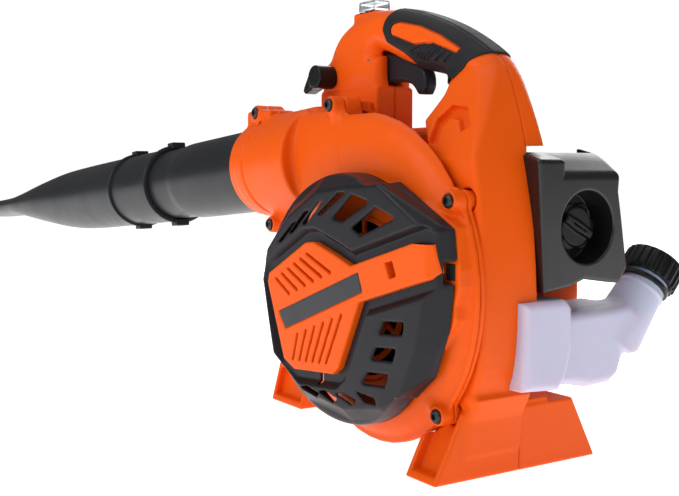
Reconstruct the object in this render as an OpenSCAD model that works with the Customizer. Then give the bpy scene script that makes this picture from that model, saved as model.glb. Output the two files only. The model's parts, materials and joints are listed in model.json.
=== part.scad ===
// Handheld petrol leaf blower, millimetres, +X towards the nozzle, +Y towards the air intake, +Z up.
// Every module is drawn from a datum at the rear foot's rear left corner; place() moves the datum.

/* [Fan housing] */
// Height of the fan and crankshaft axis above the ground
fan_z = 126; // [124:1:130]
// Distance of the fan axis ahead of the rear foot's rear edge
fan_x = 108; // [106:1:110]
// Smallest radius of the scroll, at its tongue
scroll_r = 110; // [108:1:111]
// Growth of the scroll's radius from the tongue to the top
scroll_grow = 39; // [36:1:40]
// Wall thickness of the fan housing
shell_t = 3; // [2.5:0.5:3.5]
// Radius of the fan wheel
impeller_r = 84; // [76:1:85]
// Number of fan blades
blade_count = 14; // [8:1:18]

/* [Air tube] */
// Outer radius of the air tube at the housing
tube_r = 40; // [38:0.5:40]
// Distance from the housing's collar to the nozzle's ring
nozzle_at = 192; // [185:1:200]
// Distance from the collar to the tip of the nozzle
nozzle_tip = 806; // [760:2:830]
// Downward tilt of the air tube, degrees
tube_droop = 5; // [4:0.5:6]
// Sideways turn of the air tube, degrees
tube_yaw = 2.5; // [1:0.5:3]

/* [Handle] */
// Thickness of the handle across both halves
handle_w = 40; // [38:1:42]
// Wall thickness of the handle
handle_t = 3; // [2.5:0.5:3]
// Thickness of the soft overmould on the grip
grip_t = 1.6; // [1.2:0.2:2]

/* [Engine] */
// Cylinder bore radius
bore_r = 17.2; // [16.5:0.1:17.2]
// Piston stroke
stroke = 26; // [24:1:26]
// Number of cooling fins on the cylinder
fin_count = 9; // [6:1:9]

/* [Hidden] */
$fn = 64;
eps = 0.01;
gap = 0.3;

// the datum's place in the row frame, whose origin is under the middle of the whole machine
datum_x = -542;
datum_y = 104;
module place() {
  translate([datum_x, datum_y, 0])
    children();
}

// ---- helpers ----

// cylinder along Y between y0 and y1
module ycyl(x, z, r, y0, y1) {
  translate([x, y0, z])
    rotate([-90, 0, 0])
      cylinder(r=r, h=y1 - y0);
}

// cylinder along X between x0 and x1
module xcyl(y, z, r, x0, x1) {
  translate([x0, y, z])
    rotate([0, 90, 0])
      cylinder(r=r, h=x1 - x0);
}

// cylinder along Z between z0 and z1
module zcyl(x, y, r, z0, z1) {
  translate([x, y, z0])
    cylinder(r=r, h=z1 - z0);
}

// block between two corners
module block(lo, hi) {
  translate(lo)
    cube(hi - lo);
}

// an XZ outline made solid between y0 and y1
module side_plate(y0, y1) {
  translate([0, y1, 0])
    rotate([90, 0, 0])
      linear_extrude(y1 - y0)
        children();
}

// a YZ outline made solid between x0 and x1
module end_plate(x0, x1) {
  translate([x0, 0, 0])
    rotate([90, 0, 90])
      linear_extrude(x1 - x0)
        children();
}

// a smooth curve through control points
function blend4(p, q, r, s, t) =
  0.5 * (2 * q + (r - p) * t + (2 * p - 5 * q + 4 * r - s) * t * t + (3 * q - p - 3 * r + s) * t * t * t);
function smooth(pts, n=4) = [
  for (i = [0:len(pts) - 2])
    for (k = [0:n - 1])
      blend4(pts[max(i - 1, 0)], pts[i], pts[i + 1], pts[min(i + 2, len(pts) - 1)], k / n),
  pts[len(pts) - 1]
];
function reversed(pts) = [for (i = [len(pts) - 1:-1:0]) pts[i]];
// points moved sideways off an open curve by d, to the left of its direction
function shifted(pts, d) = [
  for (i = [0:len(pts) - 1])
    let (t = pts[min(i + 1, len(pts) - 1)] - pts[max(i - 1, 0)])
      pts[i] + d * [-t[1], t[0]] / norm(t)
];

// ---- fan housing ----

seam_y = -24;
side_y = -8;
back_y = -78;
intake_r = 66;
outlet_y = -35;
outlet_z = 229;
outlet_x = 303;
collar_r = 45.5;
duct_low = 183;
duct_high = 275;
right_inset = 14;

// scroll radius: 0 degrees forward at the tongue, 90 down, 180 to the rear, 270 at the top
function scroll(t) = scroll_r + scroll_grow * pow(t / 270, 2.2);
function scroll_point(t, inset) = [
  fan_x + (scroll(t) - inset) * cos(t),
  fan_z - (scroll(t) - inset) * sin(t)
];
tongue_x = 196;
module scroll_outline(inset) {
  polygon(concat(
    [for (t = [0:6:264]) scroll_point(t, inset)],
    [[fan_x, duct_high - inset], [outlet_x - 40, duct_high - inset]],
    [[outlet_x - 40, duct_low + inset], [tongue_x, duct_low + inset], [tongue_x + 6, duct_low - 12 + inset]]
  ));
}

// moves what is drawn along Z onto the air tube's axis, with the collar's rim at zero
module on_outlet() {
  translate([outlet_x, outlet_y, outlet_z])
    rotate([0, 0, tube_yaw])
      rotate([0, 90 + tube_droop, 0])
        children();
}

collar_len = 62;
module outlet_collar() {
  on_outlet() {
    translate([0, 0, -collar_len])
      cylinder(r=collar_r, h=collar_len);
  }
}

module housing_solid() {
  side_plate(seam_y, side_y - 8)
    scroll_outline(0);
  side_plate(side_y - 8 - eps, side_y)
    scroll_outline(8);
  side_plate(back_y + 6, seam_y + eps)
    scroll_outline(right_inset);
  side_plate(back_y, back_y + 6 + eps)
    scroll_outline(right_inset + 6);
  side_plate(seam_y - 5, seam_y + eps)
    scroll_outline(0);
  outlet_collar();
}

module housing_cavity() {
  side_plate(seam_y - eps, side_y - shell_t)
    scroll_outline(8 + shell_t);
  side_plate(back_y + shell_t, seam_y)
    scroll_outline(right_inset + 6 + shell_t);
  on_outlet() {
    translate([0, 0, -collar_len - 30])
      cylinder(r=tube_r - 3, h=collar_len + 30);
    translate([0, 0, -34])
      cylinder(r=tube_r + 0.2, h=40);
  }
}

// clamp lugs on the seam flange, each with its screw hole; [x, z, radius]
lug_r = 8;
lugs = [[288, 281], [160, 282], [2, 206], [14, 48], [262, 178]];
lug_y0 = -40;
lug_y1 = -12;
module lug_bodies() {
  for (p = lugs)
    ycyl(p[0], p[1], lug_r, lug_y0, lug_y1);
}
module lug_holes() {
  for (p = lugs)
    ycyl(p[0], p[1], 2.6, lug_y0 - 1, lug_y1 + 1);
}

module volute_cut() {
  housing_cavity();
  lug_holes();
  ycyl(fan_x, fan_z, intake_r, side_y - 10, side_y + 10);
  ycyl(fan_x, fan_z, 15, back_y - 5, back_y + 10);
}

module left_of_seam() {
  block([-100, seam_y, -50], [500, 100, 400]);
}

module volute_left() {
  color("darkorange") place() difference() {
    intersection() {
      union() {
        housing_solid();
        lug_bodies();
      }
      left_of_seam();
    }
    volute_cut();
    // recesses for the cover's hinge pin and latch
    zcyl(hinge_x, hinge_y, hinge_clear_r, hinge_z0 - 1, hinge_z1 + 1);
    block([-12, side_y - 6, fan_z + 14], [0, side_y + 1, fan_z + 46]);
  }
}

module volute_right() {
  color("darkorange") place() difference() {
    union() {
      housing_solid();
      lug_bodies();
      // pad that carries the handle's base
      block([140, handle_y + handle_w / 2 + 0.2, 258], [184, seam_y - 2, 288]);
    }
    left_of_seam();
    volute_cut();
  }
}

module intake_guard() {
  color("darkorange") place() {
    difference() {
      ycyl(fan_x, fan_z, intake_r - 0.2, side_y - 6, side_y - 3);
      ycyl(fan_x, fan_z, intake_r - 4, side_y - 7, side_y - 2);
    }
    difference() {
      union() {
        for (k = [0:5])
          translate([fan_x, 0, fan_z])
            rotate([0, 60 * k, 0])
              block([-2, side_y - 5.6, 0], [2, side_y - 3.4, intake_r - 3]);
        for (r = [18, 34, 50])
          difference() {
            ycyl(fan_x, fan_z, r + 2, side_y - 6, side_y - 3);
            ycyl(fan_x, fan_z, r - 2, side_y - 7, side_y - 2);
          }
      }
      ycyl(fan_x, fan_z, 10, side_y - 8, side_y);
    }
  }
}

// ---- intake cover: a door hinged at its front edge ----

cover_r = 100;
cover_t = 2.5;
cover_y0 = side_y + 0.5;
hinge_x = fan_x + 100;
hinge_y = 2;
hinge_z0 = fan_z - 24;
hinge_z1 = fan_z + 24;
hinge_r = 2;
hinge_clear_r = 6;
// thickness of the cover from the housing to its face: deep at the front, shallow at the rear
function face_y(x) = 9 + 0.12 * x;

// corner that carries the door past the drum to its latch
function corner_outline(grow) = [
  [-10 - grow, 186 + grow], [-13 - grow, 160], [-7 - grow, 116], [8, 76 - grow],
  [60, 90], [60, 205], [44, 212 + grow]
];
module cover_block(grow, depth) {
  // the sloping face cuts a drum
  intersection() {
    union() {
      ycyl(fan_x, fan_z, cover_r + grow, cover_y0 - 20, 60);
      side_plate(cover_y0 - 20, 60)
        polygon(corner_outline(grow));
    }
    translate([0, 0, fan_z - 150])
      linear_extrude(300)
        polygon([[-20, cover_y0], [-20, face_y(-20) - depth], [230, face_y(230) - depth], [230, cover_y0]]);
  }
}

insert_outline = [
  [188, 134], [186, 142], [137, 170], [127, 171], [103, 163], [82, 155], [5, 179], [-3, 176], [-7, 156], [-1, 151],
  [72, 128], [96, 74], [103, 68], [152, 65], [166, 72]
];

// a slanted opening through the door, from its lower end to its upper end
module vent(from, to, wide_from, wide_to) {
  side_plate(-30, 80)
    let (a = [wide_from, 0] / 2, b = [wide_to, 0] / 2)
      polygon([from - a, to - b, to + b, from + a]);
}
module cover_vents() {
  // two wide and four narrow openings above the insert
  vent([97, 190], [73, 206], 10, 16);
  vent([75, 182], [45, 196], 9, 17);
  vent([120, 193], [94, 210], 3, 7);
  vent([139, 185], [119, 203], 3, 5);
  vent([156, 177], [137, 195], 3, 5);
  vent([171, 169], [153, 185], 3, 4);
  // rear column
  for (k = [0:2])
    side_plate(-30, 80)
      polygon([[44, 115], [25, 116.5], [26, 110], [48, 108]] + [for (i = [0:3]) [9 * k, -20.5 * k]]);
  // lower row
  for (k = [0:3])
    side_plate(-30, 80)
      polygon([[144, 51], [125, 46], [121, 49], [136, 53]] - [for (i = [0:3]) [23 * k, -1.5 * k]]);
}

module cover_sleeve(r) {
  zcyl(hinge_x, hinge_y, r, hinge_z0, hinge_z1);
}

module intake_cover() {
  color("dimgray") place() difference() {
    union() {
      difference() {
        cover_block(0, 0);
        cover_block(-cover_t, cover_t);
        cover_vents();
        side_plate(-30, 80)
          polygon(insert_outline);
      }
      cover_sleeve(5);
    }
    zcyl(hinge_x, hinge_y, hinge_r + 0.05, hinge_z0 - 1, hinge_z1 + 1);
    block([-20, side_y - 20, fan_z + 22], [14, side_y + 12, fan_z + 38]);
  }
}

// straight slot through the insert between two points of the side view
slot_w = 2.4;
module slot_between(p, q) {
  side_plate(-30, 80)
    let (n = slot_w / 2 * [p[1] - q[1], q[0] - p[0]] / norm(q - p))
      polygon([p - n, q - n, q + n, p + n]);
}
module intake_insert() {
  color("darkorange") place() difference() {
    intersection() {
      side_plate(-30, 80)
        polygon(insert_outline);
      difference() {
        cover_block(-0.5, -1);
        cover_block(1, cover_t);
      }
    }
    for (k = [0:5])
      slot_between([175 - 8 * k, 138 + 4.5 * k], [159 - 10.5 * k, 127 + 4.5 * k]);
    for (k = [0:5])
      slot_between([147.5 - 11 * k, 95 + 4.3 * k], [153.5 - 8.5 * k, 74 + 0.5 * k]);
    block([33, -30, 150], [41, 80, 161]);
    badge_pocket();
  }
}

badge_outline = [[173, 111], [73, 150], [68, 136], [164, 97]];
module badge_pocket() {
  intersection() {
    side_plate(-30, 80)
      polygon(badge_outline);
    difference() {
      cover_block(0, -3);
      cover_block(1, 0.2);
    }
  }
}
module badge_plate() {
  color("dimgray") place() intersection() {
    badge_pocket();
    difference() {
      cover_block(0, -1.2);
      cover_block(1, 0.2);
    }
  }
}

module cover_hinge_pin() {
  color("silver") place() {
    zcyl(hinge_x, hinge_y, hinge_r, hinge_z0 - 6, hinge_z1 + 6);
  }
}

module cover_latch() {
  color("dimgray") place() {
    // slides in the housing behind the cover's rear corner
    block([-11, side_y - 5.5, fan_z + 24], [-1, side_y - 0.2, fan_z + 36]);
  }
}

// ---- air tube and nozzle ----

tube_t = 2;
tube_in = -30;
shoulder_at = 140;
tube_small_r = tube_r - 1.8;
tube_end = nozzle_at + 36;

module blower_tube() {
  color("#404246") place() on_outlet() {
    rotate_extrude()
      polygon([
        [tube_r, tube_in], [tube_r, shoulder_at], [tube_small_r, shoulder_at + 8], [tube_small_r, tube_end],
        [tube_small_r - tube_t, tube_end], [tube_small_r - tube_t, shoulder_at + 6],
        [tube_r - tube_t, shoulder_at - 2], [tube_r - tube_t, tube_in]
      ]);
    // bayonet studs
    for (s = [0, 180])
      rotate([0, 0, s])
        translate([tube_small_r - 1, 0, nozzle_at - 8])
          rotate([0, 90, 0])
            cylinder(r=4, h=4.5);
  }
}

// nozzle sections along its length: [distance, half width, half height, drop of the centre]
socket_r = tube_small_r + 0.5;
nozzle_wall = 2.2;
ring_r = socket_r + nozzle_wall;
socket_len = 40;
nozzle_keys = smooth([
  [nozzle_at + socket_len, ring_r, ring_r, 0],
  [330, ring_r + 0.6, ring_r, 0.5],
  [430, ring_r + 1.6, ring_r - 0.6, 0.8],
  [494, 44, 37.5, 1.8],
  [560, 45, 29.5, 3.0],
  [625, 44.5, 19.5, 4.0],
  [680, 43, 13.6, 5.2],
  [nozzle_tip, 42, 12, 6.5]
], 3);
// closed ring of one section, shrunk by w, squarer as it gets flatter
ring_n = 32;
function section_ring(k, w) =
  let (p = 1 - 0.35 * (1 - k[2] / k[1]))
    [for (i = [0:ring_n - 1])
      let (a = 360 * i / ring_n, c = cos(a), s = sin(a))
        [-(k[2] - w) * sign(s) * pow(abs(s), p) - k[3], (k[1] - w) * sign(c) * pow(abs(c), p), k[0]]
    ];
// closed solid through all sections, with flat ends
module loft(w, stretch) {
  n = len(nozzle_keys);
  sections = [
    for (i = [0:n - 1])
      [for (p = section_ring(nozzle_keys[i], w)) p + [0, 0, i == 0 ? -stretch : i == n - 1 ? stretch : 0]]
  ];
  polyhedron(
    [for (r = sections) each r],
    concat(
      [for (i = [0:n - 2]) for (k = [0:ring_n - 1])
        let (m = (k + 1) % ring_n)
          [i * ring_n + k, (i + 1) * ring_n + k, (i + 1) * ring_n + m, i * ring_n + m]],
      [[for (k = [0:ring_n - 1]) k]],
      [[for (k = [ring_n - 1:-1:0]) (n - 1) * ring_n + k]]
    )
  );
}
module ridge(at, r) {
  // raised ring with small square ears at the top and bottom
  rotate_extrude()
    polygon([[ring_r - 1, at], [ring_r + r, at + 1], [ring_r + r, at + 5], [ring_r - 1, at + 6]]);
  for (s = [-1, 1])
    translate([s * (ring_r + 1.5), 0, at + 3])
      cube([7, 16, 14], center=true);
}
module nozzle() {
  color("#3a3b3f") place() on_outlet() {
    difference() {
      union() {
        translate([0, 0, nozzle_at])
          cylinder(r=ring_r + 0.3, h=socket_len + 1);
        ridge(nozzle_at, 2.5);
        loft(0, 0);
      }
      translate([0, 0, nozzle_at - 10])
        cylinder(r=socket_r, h=socket_len + 10);
      loft(nozzle_wall + 0.3, 1);
    }
  }
}

// ---- fan wheel and crank ----

shaft_r = 6;
module impeller() {
  color("#2b2b2e") place() difference() {
    union() {
      ycyl(fan_x, fan_z, impeller_r, back_y + 10, back_y + 13);
      ycyl(fan_x, fan_z, 16, back_y + 10, -42);
      for (k = [0:blade_count - 1])
        translate([fan_x, 0, fan_z])
          rotate([0, 360 / blade_count * k, 0])
            translate([0, 0, 42])
              rotate([0, 28, 0])
                block([-1.2, back_y + 12, 0], [1.2, -20, impeller_r - 50]);
    }
    ycyl(fan_x, fan_z, shaft_r + 0.02, back_y, 0);
  }
}

module impeller_nut() {
  color("silver") place() difference() {
    translate([fan_x, -41.9, fan_z])
      rotate([-90, 0, 0])
        cylinder(r=9, h=7, $fn=6);
    ycyl(fan_x, fan_z, shaft_r + 0.02, -45, 0);
  }
}

rod_y = -116;
crank_r = stroke / 2;
web_r = 24;
module crankshaft_fan_side() {
  color("silver") place() {
    ycyl(fan_x, fan_z, shaft_r, -104, -32);
    ycyl(fan_x, fan_z, web_r, rod_y + 6, rod_y + 12.5);
  }
}
module crankshaft_starter_side() {
  color("silver") place() {
    ycyl(fan_x, fan_z, shaft_r, -165, -125);
    ycyl(fan_x, fan_z, web_r, rod_y - 12.5, rod_y - 6);
  }
}

bearing_r = 13;
bearings = [[-100, -92], [-141, -133]];
module crank_bearings() {
  color("lightgray") place() for (b = bearings)
    difference() {
      ycyl(fan_x, fan_z, bearing_r - 0.02, b[0], b[1]);
      ycyl(fan_x, fan_z, shaft_r + 0.05, b[0] - 1, b[1] + 1);
    }
}

case_r = 34;
deck_z = 160;
module crankcase() {
  color("#8d9093") place() difference() {
    union() {
      ycyl(fan_x, fan_z, case_r, -144, -88);
      block([fan_x - 27, rod_y - 27, fan_z], [fan_x + 27, rod_y + 27, deck_z]);
      // arm that carries the engine on the fan housing
      for (s = [-1, 1])
        translate([fan_x + s * 50, 0, fan_z])
          block([-9, back_y - 10.5, -9], [9, back_y - 0.2, 9]);
      block([fan_x - 55, back_y - 14, fan_z - 6], [fan_x + 55, back_y - 10, fan_z + 6]);
    }
    ycyl(fan_x, fan_z, 27, rod_y - 15, rod_y + 15);
    for (b = bearings)
      ycyl(fan_x, fan_z, bearing_r, b[0] - 0.1, b[1] + 0.1);
    ycyl(fan_x, fan_z, 9, -150, -70);
    zcyl(fan_x, rod_y, bore_r + 0.8, fan_z, deck_z + 1);
  }
}

pin_z = fan_z + crank_r;
wrist_z = pin_z + 50;
module crank_pin() {
  color("silver") place() {
    ycyl(fan_x, pin_z, 5, rod_y - 5.7, rod_y + 5.7);
  }
}
module connecting_rod() {
  color("#a8a8a8") place() difference() {
    union() {
      ycyl(fan_x, pin_z, 9, rod_y - 5, rod_y + 5);
      ycyl(fan_x, wrist_z, 7.5, rod_y - 4, rod_y + 4);
      block([fan_x - 4, rod_y - 3, pin_z + 6], [fan_x + 4, rod_y + 3, wrist_z - 5]);
    }
    ycyl(fan_x, pin_z, 5.02, rod_y - 6, rod_y + 6);
    ycyl(fan_x, wrist_z, 4.52, rod_y - 6, rod_y + 6);
  }
}
module wrist_pin() {
  color("silver") place() {
    ycyl(fan_x, wrist_z, 4.5, rod_y - 15, rod_y + 15);
  }
}
piston_r = bore_r - 0.1;
module piston() {
  color("#b8b8ba") place() difference() {
    zcyl(fan_x, rod_y, piston_r, wrist_z - 8, wrist_z + 18);
    difference() {
      zcyl(fan_x, rod_y, piston_r - 2.5, wrist_z - 9, wrist_z + 13);
      for (s = [-1, 1])
        block([fan_x - 7, rod_y + s * 11 - 5, wrist_z - 7], [fan_x + 7, rod_y + s * 11 + 5, wrist_z + 8]);
    }
    ycyl(fan_x, wrist_z, 4.52, rod_y - 20, rod_y + 20);
  }
}
head_z = 224;
module cylinder_barrel() {
  zcyl(fan_x, rod_y, 22, deck_z, head_z);
  block([fan_x - 25, rod_y - 25, deck_z], [fan_x + 25, rod_y + 25, deck_z + 4]);
  for (k = [0:fin_count - 1])
    zcyl(fan_x, rod_y, 29.5, deck_z + 9 + 6.2 * k, deck_z + 11 + 6.2 * k);
}
module engine_cylinder() {
  color("#8d9093") place() difference() {
    cylinder_barrel();
    zcyl(fan_x, rod_y, bore_r, deck_z - 1, wrist_z + 22);
    zcyl(fan_x, rod_y, 5.02, wrist_z, head_z + 10);
  }
}

module spark_plug() {
  color("white") place() {
    zcyl(fan_x, rod_y, 5, wrist_z + 24, head_z + 2);
    translate([fan_x, rod_y, head_z])
      cylinder(r=9, h=7, $fn=6);
    zcyl(fan_x, rod_y, 4.5, head_z + 6.9, head_z + 22);
  }
}
module plug_boot() {
  color("#1c1c1e") place() difference() {
    union() {
      zcyl(fan_x, rod_y, 8.5, head_z + 9, head_z + 31);
      xcyl(rod_y, head_z + 25, 4.5, fan_x, fan_x + 24);
    }
    zcyl(fan_x, rod_y, 4.6, head_z + 5, head_z + 22.1);
  }
}

flywheel_r = 46;
module flywheel() {
  color("#8d9093") place() difference() {
    union() {
      ycyl(fan_x, fan_z, flywheel_r, -157, -147);
      for (k = [0:13])
        translate([fan_x, 0, fan_z])
          rotate([0, 360 / 14 * k, 0])
            block([-1.2, -163, 22], [1.2, -156.9, 44]);
    }
    ycyl(fan_x, fan_z, shaft_r + 0.02, -170, -140);
  }
}

module ignition_coil() {
  color("#1c1c1e") place() {
    block([fan_x - 15, -158, fan_z + flywheel_r + 0.6], [fan_x - 7, -148, fan_z + 54]);
    block([fan_x + 7, -158, fan_z + flywheel_r + 0.6], [fan_x + 15, -148, fan_z + 54]);
    block([fan_x - 15, -159, fan_z + 54 - eps], [fan_x + 15, -147, fan_z + 59]);
  }
}

starter_r = 64;
starter_y = -190;
pulley_r = 26;
module starter_housing() {
  color("darkorange") place() difference() {
    union() {
      difference() {
        ycyl(fan_x, fan_z, starter_r, starter_y, -148);
        ycyl(fan_x, fan_z, starter_r - shell_t, starter_y + shell_t, -147);
        for (k = [0:17])
          translate([fan_x, 0, fan_z])
            rotate([0, 20 * k, 0])
              block([-3, starter_y - 5, 34], [3, starter_y + 5, 56]);
      }
      ycyl(fan_x, fan_z, 5, starter_y + 1, -167);
    }
    // rope outlet at the top front
    translate([fan_x + 44, -175, fan_z + 30])
      rotate([0, 60, 0])
        cylinder(r=6, h=40);
  }
}
module starter_pulley() {
  color("#e8e8e8") place() difference() {
    union() {
      ycyl(fan_x, fan_z, pulley_r, -171, -169);
      ycyl(fan_x, fan_z, pulley_r - 4, -175, -170);
      ycyl(fan_x, fan_z, pulley_r, -177, -175);
    }
    ycyl(fan_x, fan_z, 5.05, -190, -160);
  }
}
module rewind_spring() {
  color("silver") place() for (r = [9:3:21])
    difference() {
      ycyl(fan_x, fan_z, r + 0.5, starter_y + shell_t + 0.2, -178);
      ycyl(fan_x, fan_z, r - 0.5, starter_y + shell_t, -177);
    }
}
grip_x = fan_x + 70;
grip_z = fan_z + 45;
module starter_grip() {
  color("#1c1c1e") place() translate([grip_x, -175, grip_z])
    rotate([0, 60, 0]) {
      cylinder(r=5, h=10);
      translate([0, 18, 14])
        rotate([90, 0, 0])
          cylinder(r=6, h=36);
    }
}

shroud_lo = [92, -176, 152];
shroud_hi = [214, -86, 264];
module engine_shroud() {
  color("darkorange") place() difference() {
    block(shroud_lo, shroud_hi);
    block([shroud_lo[0] - 1, shroud_lo[1] + shell_t, shroud_lo[2] - 1],
      [shroud_hi[0] - shell_t, shroud_hi[1] + 1, shroud_hi[2] - shell_t]);
    // room for the starter housing, and the exhaust's window
    ycyl(fan_x, fan_z, starter_r + gap, -200, -140);
    block([200, -158, 160], [220, -80, 226]);
    for (k = [0:5])
      block([100 + 15 * k, -160, 255], [107 + 15 * k, -104, 270]);
    for (k = [0:4])
      block([100 + 18 * k, -180, 204], [109 + 18 * k, -170, 244]);
    translate([grip_x - 30, -175, grip_z - 17.3])
      rotate([0, 60, 0])
        cylinder(r=9, h=80);
  }
}

module muffler() {
  color("#5a5a5c") place() {
    block([138.4, -128, 176], [146, -104, 206]);
    block([145.9, -147, 164], [192, -92, 218]);
    xcyl(-108, 182, 8, 191.9, 197);
  }
}
module muffler_guard() {
  color("#1c1c1e") place() difference() {
    block([198, -157, 161], [201.5, -87, 225]);
    for (k = [0:4])
      block([197, -148, 170 + 10 * k], [203, -96, 174 + 10 * k]);
  }
}

module intake_insulator() {
  color("#1c1c1e") place() difference() {
    block([66.2, -134, 174], [78.3, -98, 210]);
    xcyl(rod_y, 192, 9, 60, 90);
  }
}
carb_x0 = 40;
module carburetor() {
  color("#b8b8ba") place() difference() {
    union() {
      block([carb_x0, -134, 174], [66, -98, 210]);
      zcyl(53, -123, 8, 209.9, 216);
      block([44, primer_y, 182], [62, -133.9, 202]);
    }
    xcyl(rod_y, 192, 9, 30, 80);
    ycyl(53, 192, primer_r + 0.6, primer_y - 1, primer_y + 6.5);
  }
}
primer_y = -142;
primer_r = 6;
module primer_bulb() {
  color("#c33") place() {
    ycyl(53, 192, primer_r, primer_y - 9, primer_y + 1);
  }
}
base_x0 = 20;
base_x1 = 24;
stud_y = -127.5;
stud_z = 185;
module filter_base() {
  color("#1c1c1e") place() difference() {
    union() {
      block([base_x0, -164, 139], [base_x1, -87, 231]);
      block([base_x1 - eps, -132, 176], [carb_x0 - 0.2, -100, 208]);
      xcyl(stud_y, stud_z, 3, -6, base_x0 + 1);
    }
    xcyl(rod_y, 192, 9, 15, 50);
  }
}
lever_y = -150;
lever_z = 200;
module choke_lever() {
  color("#c33") place() {
    xcyl(lever_y, lever_z, 5, 24.5, 29);
    block([25, -182, lever_z - 3], [28, lever_y, lever_z + 3]);
  }
}
cup_r = 27.5;
cup_x = 2;
module filter_foam() {
  color("#444") place() difference() {
    block([5, -154, 149], [19.8, -91, 220]);
    xcyl(stud_y, stud_z, cup_r + 3, 0, 25);
  }
}
air_lo = [-22, -168, 135];
air_hi = [19.5, -84, 246];
module air_box_cover() {
  color("#202022") place() difference() {
    union() {
      difference() {
        intersection() {
          end_plate(air_lo[0], air_hi[0])
            polygon([
              [air_hi[1], air_lo[2]], [air_hi[1], air_hi[2]], [-118, air_hi[2]], [-156, air_hi[2] - 6],
              [-165, 224], [-161, 211], [-172, 152], [-163, 141], [-126, 144], [-112, 140]
            ]);
          // the top slopes down to the rear, lower on the right
          union() {
            side_plate(-108, -80)
              polygon([[-30, 130], [-30, 233.6], [25, 247], [25, 130]]);
            side_plate(-180, -107.9)
              polygon([[-30, 130], [-30, 223], [25, 245], [25, 130]]);
          }
        }
        end_plate(air_lo[0] + 2.5, air_hi[0] + 1)
          polygon([
            [-86.5, 143], [-86.5, 232], [-101, 233], [-118, 223.5], [-154, 224],
            [-160.5, 217], [-159, 206], [-168, 154], [-162, 146.5], [-126, 147], [-112, 143.5]
          ]);
      }
      xcyl(stud_y, stud_z, cup_r + 2.5, air_lo[0] + 0.1, cup_x + 2.5);
    }
    xcyl(stud_y, stud_z, cup_r, air_lo[0] - 1, cup_x);
    xcyl(stud_y, stud_z, 3.4, -30, 30);
  }
}
knob_r = 19;
module filter_knob() {
  color("#202022") place() difference() {
    union() {
      xcyl(stud_y, stud_z, knob_r - 4, -14, cup_x - 0.4);
      for (k = [0:5])
        translate([0, stud_y, stud_z])
          rotate([60 * k, 0, 0])
            translate([0, 0, knob_r - 5])
              xcyl(0, 0, 5, -14, -4);
    }
    xcyl(stud_y, stud_z, 3.05, -9, 5);
  }
}

// ---- fuel ----

tank_x0 = -24;
tank_x1 = 40;
neck_tilt = 40;
neck_r = 19;
cap_y = -226;
cap_z = 147;
tank_pts = [
  [-85, 64], [-85, 129], [-118, 127], [-188, 122], [-191, 110], [-189, 101], [-178, 95],
  [-175, 86], [-168, 67], [-159, 62], [-134, 61], [-119, 65]
];
tank_inner_pts = [
  [-88, 67], [-88, 126], [-118, 124], [-185, 119], [-188, 110], [-186, 103], [-176, 97],
  [-172, 86], [-166, 69], [-158, 65], [-134, 64], [-119, 68]
];
module on_neck() {
  translate([0, cap_y, cap_z])
    rotate([neck_tilt, 0, 0])
      children();
}
module fuel_tank() {
  color("#eeeef8") place() difference() {
    union() {
      end_plate(tank_x0, tank_x1)
        polygon(tank_pts);
      on_neck()
        translate([0, 0, -58])
          cylinder(r=neck_r, h=54);
    }
    end_plate(tank_x0 + 3, tank_x1 - 3)
      polygon(tank_inner_pts);
    on_neck()
      translate([0, 0, -52])
        cylinder(r=neck_r - 2.5, h=60);
    // grommet hole for the fuel lines
    zcyl(30, -110, 6, 115, 135);
  }
}
cap_r = 25;
module fuel_cap() {
  color("#1c1c1e") place() on_neck()
    difference() {
      union() {
        translate([0, 0, -13])
          cylinder(r=cap_r - 0.8, h=21);
        for (k = [0:23])
          rotate([0, 0, 15 * k])
            translate([cap_r - 1.4, -1.2, -12.5])
              cube([1.6, 2.4, 18.5]);
      }
      translate([0, 0, -14])
        cylinder(r=neck_r + 0.5, h=17.5);
    }
}
module cap_tether() {
  color("#1c1c1e") place() on_neck()
    difference() {
      translate([0, 0, -19])
        cylinder(r=neck_r + 2.5, h=4);
      translate([0, 0, -20])
        cylinder(r=neck_r + 0.02, h=6);
    }
}

// closed tube swept along points
tube_n = 8;
function unit(v) = v / norm(v);
function sweep_ring(path, i, r) =
  let (
    t = unit(path[min(i + 1, len(path) - 1)] - path[max(i - 1, 0)]),
    u = unit(cross(t, abs(t[1]) > 0.9 ? [1, 0, 0] : [0, 1, 0])),
    v = cross(t, u)
  )
    [for (k = [0:tube_n - 1]) path[i] + r * (cos(360 * k / tube_n) * u + sin(360 * k / tube_n) * v)];
module sweep(path, r) {
  n = len(path);
  polyhedron(
    [for (i = [0:n - 1]) each sweep_ring(path, i, r)],
    concat(
      [for (i = [0:n - 2]) for (k = [0:tube_n - 1])
        let (m = (k + 1) % tube_n)
          [i * tube_n + k, i * tube_n + m, (i + 1) * tube_n + m, (i + 1) * tube_n + k]],
      [[for (k = [tube_n - 1:-1:0]) k]],
      [[for (k = [0:tube_n - 1]) (n - 1) * tube_n + k]]
    )
  );
}
feed_line = smooth([
  [30, -108, 80], [30, -108, 120], [30, -108, 145], [42, -108, 160], [50, -108, 173.5]
], 4);
return_line = smooth([
  [31, -113, 118], [31, -113, 135], [33, -122, 155], [48, -126, 163], [54, -124, 173.5]
], 4);
module fuel_lines() {
  color("#e8d44c") place() {
    sweep(feed_line, 1.6);
    sweep(return_line, 1.6);
  }
}
module fuel_filter() {
  color("white") place() {
    zcyl(30, -108, 5, 69, 79.8);
  }
}

// ---- frame: handle, rear band and rear foot ----

handle_y = -81.5;
band_y = -29;
foot_w = 163;
foot_d = 37;
foot_top = 50;
foot_slope = 26;

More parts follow.
